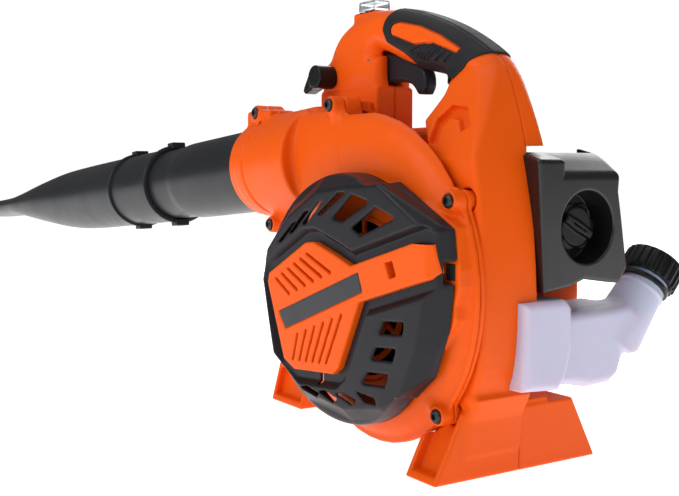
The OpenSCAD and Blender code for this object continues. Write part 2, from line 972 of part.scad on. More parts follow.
handle_outer = smooth([
  [252, 300], [246, 325], [233, 346], [214, 358], [190, 364], [168, 366], [133, 361], [99, 351], [67, 338],
  [35, 320], [20, 306], [8, 280], [-3, 245], [-10, 205], [-15, 165], [-17, 125], [-14, 85], [-4, 56]
]);
handle_inner = smooth([
  [163, 300], [168, 316], [170, 330], [157, 328], [137, 320], [115, 313], [92, 308], [76, 304],
  [67, 297], [65, 288], [69, 279], [76, 266]
]);
// the band's front edge follows the scroll
band_gap = 12;
band_inner = [for (t = [247:-8:143]) scroll_point(t, band_gap)];
band_bottom = [[24, 56]];

module handle_outline() {
  polygon(concat(handle_outer, reversed(concat(handle_inner, band_inner, band_bottom))));
}
module handle_core() {
  polygon(concat(
    shifted(handle_outer, handle_t),
    reversed(concat(shifted(handle_inner, -handle_t), shifted(band_inner, -handle_t)))
  ));
}
module xz_box(lo, hi) {
  translate(lo)
    square(hi - lo);
}

module foot_outline(y0, y1, slope, top) {
  polygon([[y0, 0], [y0 - slope, top], [y1 + slope, top], [y1, 0]]);
}
// box-section foot, open to the front, with sunken ends
foot_end = 22;
module foot_solid(x0, x1, y0, y1, slope, top) {
  difference() {
    end_plate(x0, x1)
      foot_outline(y0, y1, slope, top);
    end_plate(x0 + 4, x1 + 1)
      polygon([
        [y0 - foot_end, 4], [y0 - slope - 14, top - 4],
        [y1 + slope + 14, top - 4], [y1 + foot_end, 4]
      ]);
    for (m = [0, 1])
      translate([0, m * (y0 + y1), 0])
        mirror([0, m, 0])
          end_plate(x0 + 5, x1 - 5)
            polygon([[y0 + 1, 6], [y0 - slope * 0.7, top * 0.66], [y0 - slope, top * 0.66], [y0 - 16, 6]]);
  }
}

module base_block() {
  block([128, handle_y - handle_w / 2, 272], [254, handle_y + handle_w / 2, 300.2]);
}

module handle_shell() {
  difference() {
    union() {
      side_plate(handle_y - handle_w / 2, handle_y + handle_w / 2)
        intersection() {
          handle_outline();
          xz_box([-60, 250], [260, 400]);
        }
      base_block();
    }
    side_plate(handle_y - handle_w / 2 + handle_t, handle_y + handle_w / 2 - handle_t)
      intersection() {
        handle_core();
        xz_box([-60, 253], [247, 400]);
      }
    block([134, handle_y - handle_w / 2 + handle_t, 275], [247, handle_y + handle_w / 2 - handle_t, 302]);
    // slot for the trigger, seat for the switch, bore for the lock knob
    block([108, handle_y - 7, 290], [190, handle_y + 7, 336]);
    block([181, handle_y - 8, 355], [207, handle_y + 8, 372]);
    block([175, handle_y - 12, 365.1], [213, handle_y + 12, 380]);
    ycyl(knob_x, knob_z, 6.05, handle_y, handle_y + 40);
    ycyl(pin_x, trigger_z, 2.05, handle_y - 40, handle_y + 40);
  }
}

module lug_clearance() {
  for (p = lugs)
    ycyl(p[0], p[1], lug_r + gap, lug_y0 - gap, 0);
}

module frame_left() {
  color("darkorange") place() {
    difference() {
      handle_shell();
      block([-100, -300, 200], [400, handle_y, 420]);
    }
    // rear band, a shell open to the front
    difference() {
      side_plate(handle_y, band_y)
        intersection() {
          handle_outline();
          xz_box([-60, 50], [110, 262]);
        }
      side_plate(handle_y - 1, band_y - 4)
        intersection() {
          handle_core();
          xz_box([-60, 60], [100, 256]);
        }
      block([-60, handle_y - 1, 250 - eps], [110, handle_y + handle_w / 2 - handle_t, 257]);
      lug_clearance();
    }
    difference() {
      union() {
        foot_solid(0, foot_d, 0, -foot_w, foot_slope, foot_top);
        block([0.5, handle_y, foot_top - 6], [foot_d - 4, -29, foot_top + 8]);
      }
      block([-10, -300, -10], [100, handle_y, 100]);
      ycyl(fan_x, fan_z, scroll(165) + 0.6, -40, 10);
      ycyl(fan_x, fan_z, scroll(147) - right_inset + 2, handle_y - 1, -20);
      lug_clearance();
    }
  }
}

module handle_right() {
  color("darkorange") place() difference() {
    handle_shell();
    block([-100, handle_y, 200], [400, 100, 420]);
    // the air box passes under this half
    block([-40, -300, 200], [21, handle_y + 1, air_hi[2] + 2]);
  }
}

module rear_foot_right() {
  color("darkorange") place() difference() {
    foot_solid(0, foot_d, 0, -foot_w, foot_slope, foot_top);
    block([-10, handle_y, -10], [100, 100, 100]);
  }
}

module grip_zone() {
  xz_box([52, 290], [168, 380]);
}
module grip_overmould() {
  color("#2e2f33") place() difference() {
    side_plate(handle_y - handle_w / 2 - grip_t, handle_y + handle_w / 2 + grip_t)
      intersection() {
        polygon(concat(
          shifted(handle_outer, -grip_t),
          reversed(concat(shifted(handle_inner, grip_t), band_inner))
        ));
        grip_zone();
      }
    side_plate(handle_y - handle_w / 2, handle_y + handle_w / 2)
      handle_outline();
    // the hard window on both sides
    side_plate(handle_y - 40, handle_y + 40)
      polygon([[143, 350], [136, 336], [108, 333], [62, 318], [62, 324], [84, 340], [120, 350]]);
    block([100, handle_y - 7, 290], [180, handle_y + 7, 332]);
    block([140, handle_y - 30, 290], [180, handle_y + 30, 326]);
  }
}

pin_x = 176;
trigger_z = 322;
module trigger() {
  color("#232326") place() difference() {
    side_plate(handle_y - 6, handle_y + 6)
      polygon(concat(
        smooth([[181, 327], [166, 330], [144, 326], [124, 318], [117, 308], [115, 298], [119, 292]]),
        smooth([[124, 294], [128, 301.5], [136, 303], [150, 303], [166, 303], [178, 309], [182, 318]])
      ));
    ycyl(pin_x, trigger_z, 2.05, handle_y - 40, handle_y + 40);
  }
}
module trigger_pin() {
  color("silver") place() {
    ycyl(pin_x, trigger_z, 2, handle_y - handle_w / 2 + 0.5, handle_y + handle_w / 2 - 0.5);
  }
}

knob_x = 232;
knob_z = 312;
module lock_knob() {
  color("#1c1c1e") place() {
    ycyl(knob_x, knob_z, 6, handle_y + handle_w / 2 - 6, handle_y + handle_w / 2 + 1);
    ycyl(knob_x, knob_z, 10.5, handle_y + handle_w / 2 + 0.5, handle_y + handle_w / 2 + 20);
    translate([knob_x, handle_y + handle_w / 2 + 6, knob_z])
      rotate([0, 30, 0])
        block([0, 0, -4], [22, 12, 4]);
  }
}

module switch_body() {
  color("#232326") place() difference() {
    union() {
      block([182, handle_y - 7.5, 356], [206, handle_y + 7.5, 365.4]);
      block([176, handle_y - 11, 365.2], [212, handle_y + 11, 367.2]);
    }
    block([184.5, handle_y - 5.5, 360], [203.5, handle_y + 5.5, 370]);
  }
}
module stop_switch() {
  color("#c22") place() {
    block([187, handle_y - 5, 364.2], [201, handle_y + 5, 370]);
  }
}
module switch_boot() {
  color("#d9e6ee", 0.5) place() difference() {
    block([175, handle_y - 12, 367.3], [213, handle_y + 12, 378]);
    block([177, handle_y - 10, 366], [211, handle_y + 10, 376]);
  }
}

// ---- front foot ----

front_x0 = 262;
front_x1 = 320;
front_y0 = -45;
front_y1 = -158;
front_top = 38;
module front_foot() {
  color("darkorange") place() difference() {
    union() {
      foot_solid(front_x0, front_x1, front_y0, front_y1, 10, front_top);
      // arm back to the fan housing and the engine
      side_plate(-116, -86)
        polygon([[front_x0 + 1, 2], [front_x0 + 20, front_top - 0.5], [205, 140], [160, 140], [160, 112]]);
    }
    ycyl(fan_x, fan_z, 70, -200, -60);
  }
}

module housing_screws() {
  color("#333") place() for (p = lugs) {
    ycyl(p[0], p[1], 2.5, lug_y0 + 2, lug_y1);
    ycyl(p[0], p[1], 5, lug_y1, lug_y1 + 3);
  }
}
volute_left();
volute_right();
intake_guard();
intake_cover();
intake_insert();
badge_plate();
cover_hinge_pin();
cover_latch();
blower_tube();
nozzle();
impeller();
impeller_nut();
crankshaft_fan_side();
crankshaft_starter_side();
crank_bearings();
crankcase();
crank_pin();
connecting_rod();
wrist_pin();
piston();
engine_cylinder();
spark_plug();
plug_boot();
flywheel();
ignition_coil();
starter_housing();
starter_pulley();
rewind_spring();
starter_grip();
engine_shroud();
muffler();
muffler_guard();
intake_insulator();
carburetor();
primer_bulb();
choke_lever();
filter_base();
filter_foam();
air_box_cover();
filter_knob();
fuel_tank();
fuel_cap();
cap_tether();
fuel_lines();
fuel_filter();
frame_left();
handle_right();
rear_foot_right();
grip_overmould();
trigger();
trigger_pin();
lock_knob();
switch_body();
stop_switch();
switch_boot();
front_foot();
housing_screws();
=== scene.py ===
import bpy
import json
import math
import numpy as np
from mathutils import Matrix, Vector

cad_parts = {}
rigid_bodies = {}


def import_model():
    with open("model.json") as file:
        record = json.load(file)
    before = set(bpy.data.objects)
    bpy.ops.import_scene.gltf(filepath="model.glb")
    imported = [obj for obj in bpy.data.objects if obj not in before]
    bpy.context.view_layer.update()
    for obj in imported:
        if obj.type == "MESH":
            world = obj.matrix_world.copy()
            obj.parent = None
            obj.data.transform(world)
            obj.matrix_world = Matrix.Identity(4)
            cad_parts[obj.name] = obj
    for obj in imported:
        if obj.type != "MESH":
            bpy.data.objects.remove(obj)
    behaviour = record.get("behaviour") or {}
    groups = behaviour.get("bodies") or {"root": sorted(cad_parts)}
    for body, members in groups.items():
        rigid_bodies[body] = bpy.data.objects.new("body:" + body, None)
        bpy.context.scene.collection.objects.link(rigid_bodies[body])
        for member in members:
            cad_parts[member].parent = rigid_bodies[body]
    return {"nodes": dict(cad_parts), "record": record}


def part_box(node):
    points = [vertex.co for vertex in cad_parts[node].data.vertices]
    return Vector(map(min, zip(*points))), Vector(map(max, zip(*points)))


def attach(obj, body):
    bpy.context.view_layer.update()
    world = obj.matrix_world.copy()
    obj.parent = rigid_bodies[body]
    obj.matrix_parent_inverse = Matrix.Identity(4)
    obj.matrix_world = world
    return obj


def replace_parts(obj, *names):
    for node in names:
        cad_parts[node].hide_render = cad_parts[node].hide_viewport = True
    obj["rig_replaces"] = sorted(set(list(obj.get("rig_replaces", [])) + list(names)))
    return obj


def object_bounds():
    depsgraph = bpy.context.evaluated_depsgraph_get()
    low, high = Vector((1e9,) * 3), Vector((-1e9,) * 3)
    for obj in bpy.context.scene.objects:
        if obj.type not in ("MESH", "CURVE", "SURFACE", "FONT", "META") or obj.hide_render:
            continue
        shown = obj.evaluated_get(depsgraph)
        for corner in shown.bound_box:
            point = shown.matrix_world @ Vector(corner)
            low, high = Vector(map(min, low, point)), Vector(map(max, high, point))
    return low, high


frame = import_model()
CAD_LO, CAD_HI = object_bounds()

# ---- datum: millimetres forward (a), left (b) and up (z) of the rear foot's left end ----
record = frame["record"]
joints = {j["name"]: j for j in record["behaviour"]["joints"]}
FAN_A, FAN_Z = 108.0, 126.0
HANDLE_B = -81.5
HANDLE_LEFT, HANDLE_RIGHT = HANDLE_B + 20, HANDLE_B - 20
DX = joints["fan_and_crank"]["pos_m"][0] * 1000 - FAN_A
_lo, _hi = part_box("trigger_pin")
DY = (_lo[1] + _hi[1]) * 500 - HANDLE_B


def metres(points):
    """Datum millimetres to frame metres."""
    v = np.asarray(points, float).reshape(-1, 3)
    return (v + [DX, DY, 0.0]) / 1000.0


# ---- solids from distance fields ----

class Field:
    """A grid of points, in datum millimetres, on which distances are worked out. Negative is inside."""

    def __init__(self, lo, hi, step):
        self.lo, self.step = np.array(lo, float), step
        self.n = [int(math.ceil((h - l) / step)) + 1 for l, h in zip(lo, hi)]
        a, b, z = [np.asarray(lo[i] + step * np.arange(self.n[i]), np.float32) for i in range(3)]
        self.p = (a[:, None, None], b[None, :, None], z[None, None, :])


def hyp(*v):
    total = 0
    for x in v:
        total = total + x * x
    return np.sqrt(total)


def pos(v):
    return np.maximum(v, 0)


def prism(d, w, e=0.0):
    """In-plane distance d and axial distance w as one solid with its edges rounded by e."""
    d, w = d + e, w + e
    return hyp(pos(d), pos(w)) + np.minimum(np.maximum(d, w), 0) - e


def slab(v, lo, hi):
    return np.abs(v - (lo + hi) / 2) - (hi - lo) / 2


def ring2(u, v, cu, cv, r):
    return hyp(u - cu, v - cv) - r


def outline(u, v, pts):
    """Signed distance to a polygon."""
    d, inside = None, None
    for (ax, ay), (bx, by) in zip(pts, pts[-1:] + pts[:-1]):
        ex, ey = bx - ax, by - ay
        wx, wy = u - ax, v - ay
        t = np.clip((wx * ex + wy * ey) / (ex * ex + ey * ey), 0, 1)
        near = (wx - ex * t) ** 2 + (wy - ey * t) ** 2
        c1, c2, c3 = wy >= 0, (v < by), ex * wy > ey * wx
        flip = (c1 & c2 & c3) | (~c1 & ~c2 & ~c3)
        d = near if d is None else np.minimum(d, near)
        inside = flip if inside is None else inside ^ flip
    return np.where(inside, -np.sqrt(d), np.sqrt(d)).astype(np.float32)


def box3(p, lo, hi, e=0.0):
    q = [slab(p[i], lo[i], hi[i]) + e for i in range(3)]
    return hyp(*[pos(v) for v in q]) + np.minimum(np.maximum(np.maximum(q[0], q[1]), q[2]), 0) - e


def cyl(p, axis, c, r, lo, hi, e=0.0):
    i, j = [k for k in range(3) if k != axis]
    return prism(ring2(p[i], p[j], c[0], c[1], r), slab(p[axis], lo, hi), e)


def join(a, b, k=0.0):
    if not k:
        return np.minimum(a, b)
    h = np.clip(0.5 + 0.5 * (b - a) / k, 0, 1)
    return b + (a - b) * h - k * h * (1 - h)


def meet(a, b, k=0.0):
    return -join(-a, -b, k)


def cut(a, b, k=0.0):
    return -join(-a, b, k)


def turned(p, origin, axes):
    """The points in a frame with this origin and these unit axes."""
    q = [p[i] - origin[i] for i in range(3)]
    return tuple(q[0] * ax[0] + q[1] * ax[1] + q[2] * ax[2] for ax in axes)


def surface(field, d):
    """Surface nets: the zero level of d as points, quads and unit normals."""
    d = np.ascontiguousarray(np.broadcast_to(d, field.n), dtype=np.float32)
    neg = d < 0
    nx, ny, nz = d.shape
    corner = [(i, j, k) for i in (0, 1) for j in (0, 1) for k in (0, 1)]
    count = np.zeros((nx - 1, ny - 1, nz - 1), np.uint8)
    for i, j, k in corner:
        count += neg[i:nx - 1 + i, j:ny - 1 + j, k:nz - 1 + k]
    cells = np.nonzero((count > 0) & (count < 8))
    index = np.full(count.shape, -1, np.int32)
    index[cells] = np.arange(len(cells[0]))
    total, hits = np.zeros((len(cells[0]), 3)), np.zeros(len(cells[0]))
    for c in corner:
        for axis in range(3):
            if c[axis]:
                continue
            e = list(c)
            e[axis] = 1
            da = d[cells[0] + c[0], cells[1] + c[1], cells[2] + c[2]]
            db = d[cells[0] + e[0], cells[1] + e[1], cells[2] + e[2]]
            m = (da < 0) != (db < 0)
            t = np.where(m, da / np.where(m, da - db, 1), 0)
            for ax in range(3):
                total[:, ax] += np.where(m, c[ax] + (t if ax == axis else 0), 0)
            hits += m
    at = np.stack(cells, 1) + total / hits[:, None]
    quads = []
    for axis in range(3):
        u, v = (axis + 1) % 3, (axis + 2) % 3
        lo = [slice(None)] * 3
        lo[axis] = slice(0, -1)
        hi = list(lo)
        hi[axis] = slice(1, None)
        change = neg[tuple(lo)] != neg[tuple(hi)]
        edge = np.nonzero(change)
        ok = np.ones(len(edge[0]), bool)
        for ax in (u, v):
            ok &= (edge[ax] > 0) & (edge[ax] < d.shape[ax] - 1)
        edge = [x[ok] for x in edge]
        inside = neg[edge[0], edge[1], edge[2]]
        four = []
        for du, dv in ((-1, -1), (0, -1), (0, 0), (-1, 0)):
            q = [x.copy() for x in edge]
            q[u] = q[u] + du
            q[v] = q[v] + dv
            four.append(index[q[0], q[1], q[2]])
        four = np.stack(four, 1)
        four[~inside] = four[~inside][:, ::-1]
        quads.append(four)
    quads = np.concatenate(quads)

    def sample(at):
        at = np.clip(at, 0, np.array(d.shape) - 1.001)
        i = at.astype(int)
        f = at - i
        out = 0
        for c in corner:
            w = np.prod([f[:, ax] if c[ax] else 1 - f[:, ax] for ax in range(3)], 0)
            out = out + w * d[i[:, 0] + c[0], i[:, 1] + c[1], i[:, 2] + c[2]]
        return out

    def slope(at):
        g = np.stack([sample(at + s) - sample(at - s) for s in np.eye(3) * 0.6], 1)
        return g / np.maximum(np.linalg.norm(g, axis=1), 1e-9)[:, None]

    n = slope(at)
    move = np.clip(sample(at) / field.step, -0.4, 0.4)
    at = at - n * move[:, None]
    return field.lo + at * field.step, quads, slope(at)


def mesh_object(name, points, faces, normals=None, smooth=True):
    """An object from points in datum millimetres and faces of any size."""
    me = bpy.data.meshes.new(name)
    pts = metres(points)
    if isinstance(faces, np.ndarray):
        me.vertices.add(len(pts))
        me.vertices.foreach_set("co", pts.astype(np.float32).ravel())
        me.loops.add(faces.size)
        me.loops.foreach_set("vertex_index", faces.astype(np.int32).ravel())
        me.polygons.add(len(faces))
        me.polygons.foreach_set("loop_start", np.arange(0, faces.size, faces.shape[1], dtype=np.int32))
        me.update(calc_edges=True)
    else:
        me.from_pydata([tuple(p) for p in pts], [], faces)
    me.polygons.foreach_set("use_smooth", [smooth] * len(me.polygons))
    me.validate()
    if normals is not None:
        me.normals_split_custom_set_from_vertices([tuple(n) for n in normals])
    ob = bpy.data.objects.new(name, me)
    bpy.context.scene.collection.objects.link(ob)
    return ob


def piece(ob, body, material, nodes=()):
    ob.data.materials.clear()
    ob.data.materials.append(material)
    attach(ob, body)
    if nodes:
        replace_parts(ob, *nodes)
    return ob


def solid(name, field, d, body, material, nodes=()):
    points, quads, normals = surface(field, d)
    return piece(mesh_object(name, points, quads, normals), body, material, nodes)


# ---- curves and lofts ----

def spline(pts, n=4):
    """Catmull-Rom through control points, as the CAD's own curves."""
    out = []
    for i in range(len(pts) - 1):
        p, q = pts[max(i - 1, 0)], pts[i]
        r, s = pts[i + 1], pts[min(i + 2, len(pts) - 1)]
        for k in range(n):
            t = k / n
            out.append(tuple(
                0.5 * (2 * b + (c - a) * t + (2 * a - 5 * b + 4 * c - e) * t * t
                        + (3 * b - a - 3 * c + e) * t ** 3)
                for a, b, c, e in zip(p, q, r, s)))
    return out + [tuple(pts[-1])]


def loft(name, rings, close=True, cap=False):
    """An object through rings of the same number of points, the first and last joined if close."""
    n, pts = len(rings[0]), [q for r in rings for q in r]
    faces = []
    rows = len(rings) if close else len(rings) - 1
    for i in range(rows):
        a, b = i * n, ((i + 1) % len(rings)) * n
        for k in range(n):
            m = (k + 1) % n
            faces.append((a + k, a + m, b + m, b + k))
    if cap:
        faces.append(tuple(range(n - 1, -1, -1)))
        faces.append(tuple(range((len(rings) - 1) * n, len(rings) * n)))
    ob = mesh_object(name, pts, faces)
    smooth_by_angle(ob, 35)
    return ob


def smooth_by_angle(ob, degrees):
    """Smooth shading, with edges sharper than this kept."""
    me = ob.data
    me.polygons.foreach_set("use_smooth", [True] * len(me.polygons))
    me.set_sharp_from_angle(angle=math.radians(degrees))


def frame_of(origin, along, side):
    """Rows: along, side made square to it, and their cross product."""
    t = np.array(along, float) / np.linalg.norm(along)
    s = np.array(side, float) - np.dot(side, t) * t
    s = s / np.linalg.norm(s)
    return np.array(origin, float), t, s, np.cross(t, s)


def lathe(name, profile, at, n=64, shape=None):
    """A turned solid from a closed profile of (radius, distance) points. at is frame_of's."""
    o, t, s, u = at
    rings = []
    for r, w in profile:
        ring = []
        for k in range(n):
            a = 2 * math.pi * k / n
            rr = r if shape is None else shape(r, w, a)
            ring.append(o + t * w + rr * (math.cos(a) * s + math.sin(a) * u))
        rings.append(ring)
    return loft(name, rings)


def bevelled(ob, width_mm, segments=2, angle=30):
    m = ob.modifiers.new("edges", "BEVEL")
    m.width, m.segments, m.limit_method = width_mm / 1000, segments, "ANGLE"
    m.angle_limit = math.radians(angle)
    m.use_clamp_overlap = True
    return ob


# ---- materials ----

def material(name, base, rough=0.4, metal=0.0, grain=0.2, grain_scale=1300.0, vary=0.06, wear=0.25,
             rough_vary=0.08, soft_edge=0.0, coat=0.0, **sockets):
    mat = bpy.data.materials.new(name)
    mat.use_nodes = True
    nt = mat.node_tree
    nt.nodes.clear()
    out = nt.nodes.new("ShaderNodeOutputMaterial")
    bs = nt.nodes.new("ShaderNodeBsdfPrincipled")
    nt.links.new(bs.outputs[0], out.inputs[0])
    bs.inputs["Metallic"].default_value = metal
    bs.inputs["Specular IOR Level"].default_value = 0.22 if max(base) < 0.1 else 0.16
    bs.inputs["Coat Weight"].default_value = coat
    bs.inputs["Coat Roughness"].default_value = 0.2
    for k, v in sockets.items():
        bs.inputs[k.replace("_", " ")].default_value = v
    tc = nt.nodes.new("ShaderNodeTexCoord")

    def noise(scale, detail, rough_=0.55):
        n = nt.nodes.new("ShaderNodeTexNoise")
        n.inputs["Scale"].default_value = scale
        n.inputs["Detail"].default_value = detail
        n.inputs["Roughness"].default_value = rough_
        nt.links.new(tc.outputs["Object"], n.inputs["Vector"])
        return n.outputs["Fac"]

    def remap(src, a, b, c, e):
        m = nt.nodes.new("ShaderNodeMapRange")
        for i, v in zip((1, 2, 3, 4), (a, b, c, e)):
            m.inputs[i].default_value = v
        nt.links.new(src, m.inputs[0])
        return m.outputs[0]

    def mix(fac, a, b):
        m = nt.nodes.new("ShaderNodeMix")
        m.data_type = "RGBA"
        if isinstance(fac, float):
            m.inputs[0].default_value = fac
        else:
            nt.links.new(fac, m.inputs[0])
        for sock, v in ((m.inputs[6], a), (m.inputs[7], b)):
            if isinstance(v, tuple):
                sock.default_value = (*v, 1.0)
            else:
                nt.links.new(v, sock)
        return m.outputs[2]

    lo = tuple(max(0.0, c * (1 - vary * 1.6)) for c in base)
    hi = tuple(min(1.0, c * (1 + vary)) for c in base)
    big = noise(9.0, 4)
    body_colour = mix(remap(big, 0.3, 0.7, 0.0, 1.0), lo, hi)
    fleck = noise(grain_scale * 0.6, 2)
    body_colour = mix(remap(fleck, 0.45, 0.85, 0.0, 0.18 + vary), body_colour,
                      tuple(min(1.0, c * 1.25 + 0.004) for c in base))
    geo = nt.nodes.new("ShaderNodeNewGeometry")
    edge = remap(geo.outputs["Pointiness"], 0.52, 0.62, 0.0, wear)
    rub = nt.nodes.new("ShaderNodeMath")
    rub.operation = "MULTIPLY"
    nt.links.new(edge, rub.inputs[0])
    nt.links.new(remap(noise(60.0, 5), 0.35, 0.65, 0.2, 1.0), rub.inputs[1])
    worn = tuple(min(1.0, c * 1.35 + 0.012) for c in base)
    nt.links.new(mix(rub.outputs[0], body_colour, worn), bs.inputs["Base Color"])
    nt.links.new(remap(noise(35.0, 5), 0.25, 0.75, rough - rough_vary, rough + rough_vary),
                 bs.inputs["Roughness"])
    bump = nt.nodes.new("ShaderNodeBump")
    bump.inputs["Strength"].default_value = grain
    bump.inputs["Distance"].default_value = 0.0002
    nt.links.new(noise(grain_scale, 3), bump.inputs["Height"])
    if soft_edge:
        bev = nt.nodes.new("ShaderNodeBevel")
        bev.samples = 4
        bev.inputs["Radius"].default_value = soft_edge / 1000
        nt.links.new(bev.outputs[0], bump.inputs["Normal"])
    nt.links.new(bump.outputs[0], bs.inputs["Normal"])
    return mat


ORANGE = (0.87, 0.105, 0.003)
M = {"orange_plastic": material("orange_satin", ORANGE, 0.36, grain=0.16, wear=0.12, vary=0.03,
                                rough_vary=0.05), "charcoal_plastic": material("charcoal_satin",
    (0.014, 0.014, 0.018), 0.36, grain=0.22, wear=0.3, vary=0.10),
    "tube_plastic": material("tube_moulded", (0.015, 0.016, 0.019), 0.34, grain=0.10, wear=0.2,
                             vary=0.12, rough_vary=0.06),
    "black_plastic": material("black_satin", (0.008, 0.008, 0.009), 0.30, grain=0.18, wear=0.35,
                              vary=0.12), "soft_grip": material("grip_rubber", (0.012, 0.012, 0.015),
    0.54, grain=0.5, grain_scale=1700, wear=0.3, vary=0.08),
    "tank_plastic": material("tank_milky", (0.60, 0.585, 0.745), 0.42, grain=0.12, wear=0.1, vary=0.02,
                             Subsurface_Weight=0.6, Subsurface_Scale=0.012, IOR=1.45),
    "clear_plastic": material("boot_clear", (0.88, 0.92, 0.96), 0.10, grain=0.05, wear=0.2, vary=0.02,
                              rough_vary=0.03, Transmission_Weight=0.9, IOR=1.3),
    "red_plastic": material("red_gloss", (0.55, 0.012, 0.010), 0.30, grain=0.1, wear=0.2, vary=0.05),
    "label_grey": material("label_grey", (0.050, 0.052, 0.058), 0.45, grain=0.3, wear=0.2, vary=0.06),
    "cast_alloy": material("cast_alloy", (0.45, 0.45, 0.46), 0.52, 0.9, grain=0.7, grain_scale=900,
                           wear=0.3, vary=0.1, soft_edge=0.5),
    "steel": material("steel_bright", (0.55, 0.55, 0.56), 0.28, 1.0, grain=0.1, wear=0.1, vary=0.08,
                      soft_edge=0.3), "dark_steel": material("steel_dark", (0.05, 0.05, 0.055), 0.40,
                                                             0.8, grain=0.15, wear=0.5, vary=0.1,
                                                             soft_edge=0.3),
    "fuel_line": material("fuel_line", (0.72, 0.60, 0.10), 0.25, grain=0.05, wear=0.1, vary=0.05,
                          Transmission_Weight=0.25, IOR=1.4),
    "foam": material("foam_grey", (0.06, 0.06, 0.065), 0.95, grain=1.0, grain_scale=600, wear=0.2,
                     vary=0.2), "ceramic": material("ceramic_white", (0.82, 0.80, 0.76), 0.22,
                                                    grain=0.05, wear=0.1, vary=0.02), }
# the parts that keep their CAD mesh
CAD_M = {k: material(k + "_cad", c, r, m, grain=g, wear=0.3, soft_edge=0.6) for k,
         (c, r, m, g) in {"orange_plastic": (ORANGE, 0.36, 0.0, 0.16),
                          "charcoal_plastic": ((0.021, 0.021, 0.025), 0.4, 0.0, 0.25),
                          "black_plastic": ((0.012, 0.012, 0.014), 0.38, 0.0, 0.25),
                          "soft_grip": ((0.016, 0.016, 0.019), 0.6, 0.0, 0.5), }.items() }

# ---- fan housing ----

SEAM_B, SIDE_B = -24.0, -8.0
OUTLET = (303.0, -35.0, 229.0)
YAW, DROOP = math.radians(2.5), math.radians(5.0)
ALONG = np.array([math.cos(YAW) * math.cos(DROOP), math.sin(YAW) * math.cos(DROOP), -math.sin(DROOP)])
LEFT = np.array([-math.sin(YAW), math.cos(YAW), 0.0])
UP = np.cross(ALONG, LEFT)
OUT = frame_of(OUTLET, ALONG, LEFT)
COLLAR_R, TUBE_R = 45.5, 40.0
DUCT_LOW, DUCT_HIGH = 183.0, 275.0


def scroll(t):
    return 110 + 39 * (t / 270) ** 2.2


def scroll_point(t, inset):
    r, w = scroll(t) - inset, math.radians(t)
    return (FAN_A + r * math.cos(w), FAN_Z - r * math.sin(w))


SCROLL = [scroll_point(t, 0) for t in range(0, 265, 8)] + [(FAN_A, DUCT_HIGH), (263, DUCT_HIGH),
                                                           (263, DUCT_LOW), (196, DUCT_LOW),
                                                           (202, DUCT_LOW - 12)]
PAD = [(30, 205), (8, 197), (-10, 188), (-16, 158), (-16, 146), (-11, 132), (-12, 122), (4, 100),
       (40, 100), (40, 205)]
LUGS = [(288, 281), (160, 282), (2, 206), (14, 48), (262, 178)]


def scroll_body(p, left, wall=0.0):
    """The fan housing inset by a wall: its section runs from the seam over an elliptical shoulder."""
    d2 = outline(p[0], p[2], SCROLL)
    bulge, depth, inset = (30.0, 15.5, 0.5) if left else (40.0, 51.5, 15.0)
    bulge, depth, inset = bulge - wall * 0.3, depth - wall, inset + wall
    w = p[1] - (SEAM_B - 2) if left else (SEAM_B + 2) - p[1]
    x = pos((d2 + inset + bulge) / bulge)
    y = pos(w / depth)
    shoulder = (hyp(x, y) - 1) * min(bulge, depth)
    return np.maximum(shoulder, np.maximum(d2 + inset, -w - 3)), d2


def collar(p):
    q = turned(p, OUTLET, (ALONG, LEFT, UP))
    r = hyp(q[1], q[2])
    flare = COLLAR_R + 1.5 * np.clip(-q[0] / 60, 0, 1)
    rim = prism(r - flare, slab(q[0], -95, 0), 2.6)
    groove = hyp(pos(np.abs(q[0] + 27) - 0.6), r - (COLLAR_R + 1.2)) - 1.5
    bore = np.maximum(r - (TUBE_R + 0.2), slab(q[0], -40, 5))
    return rim, groove, bore, q, r


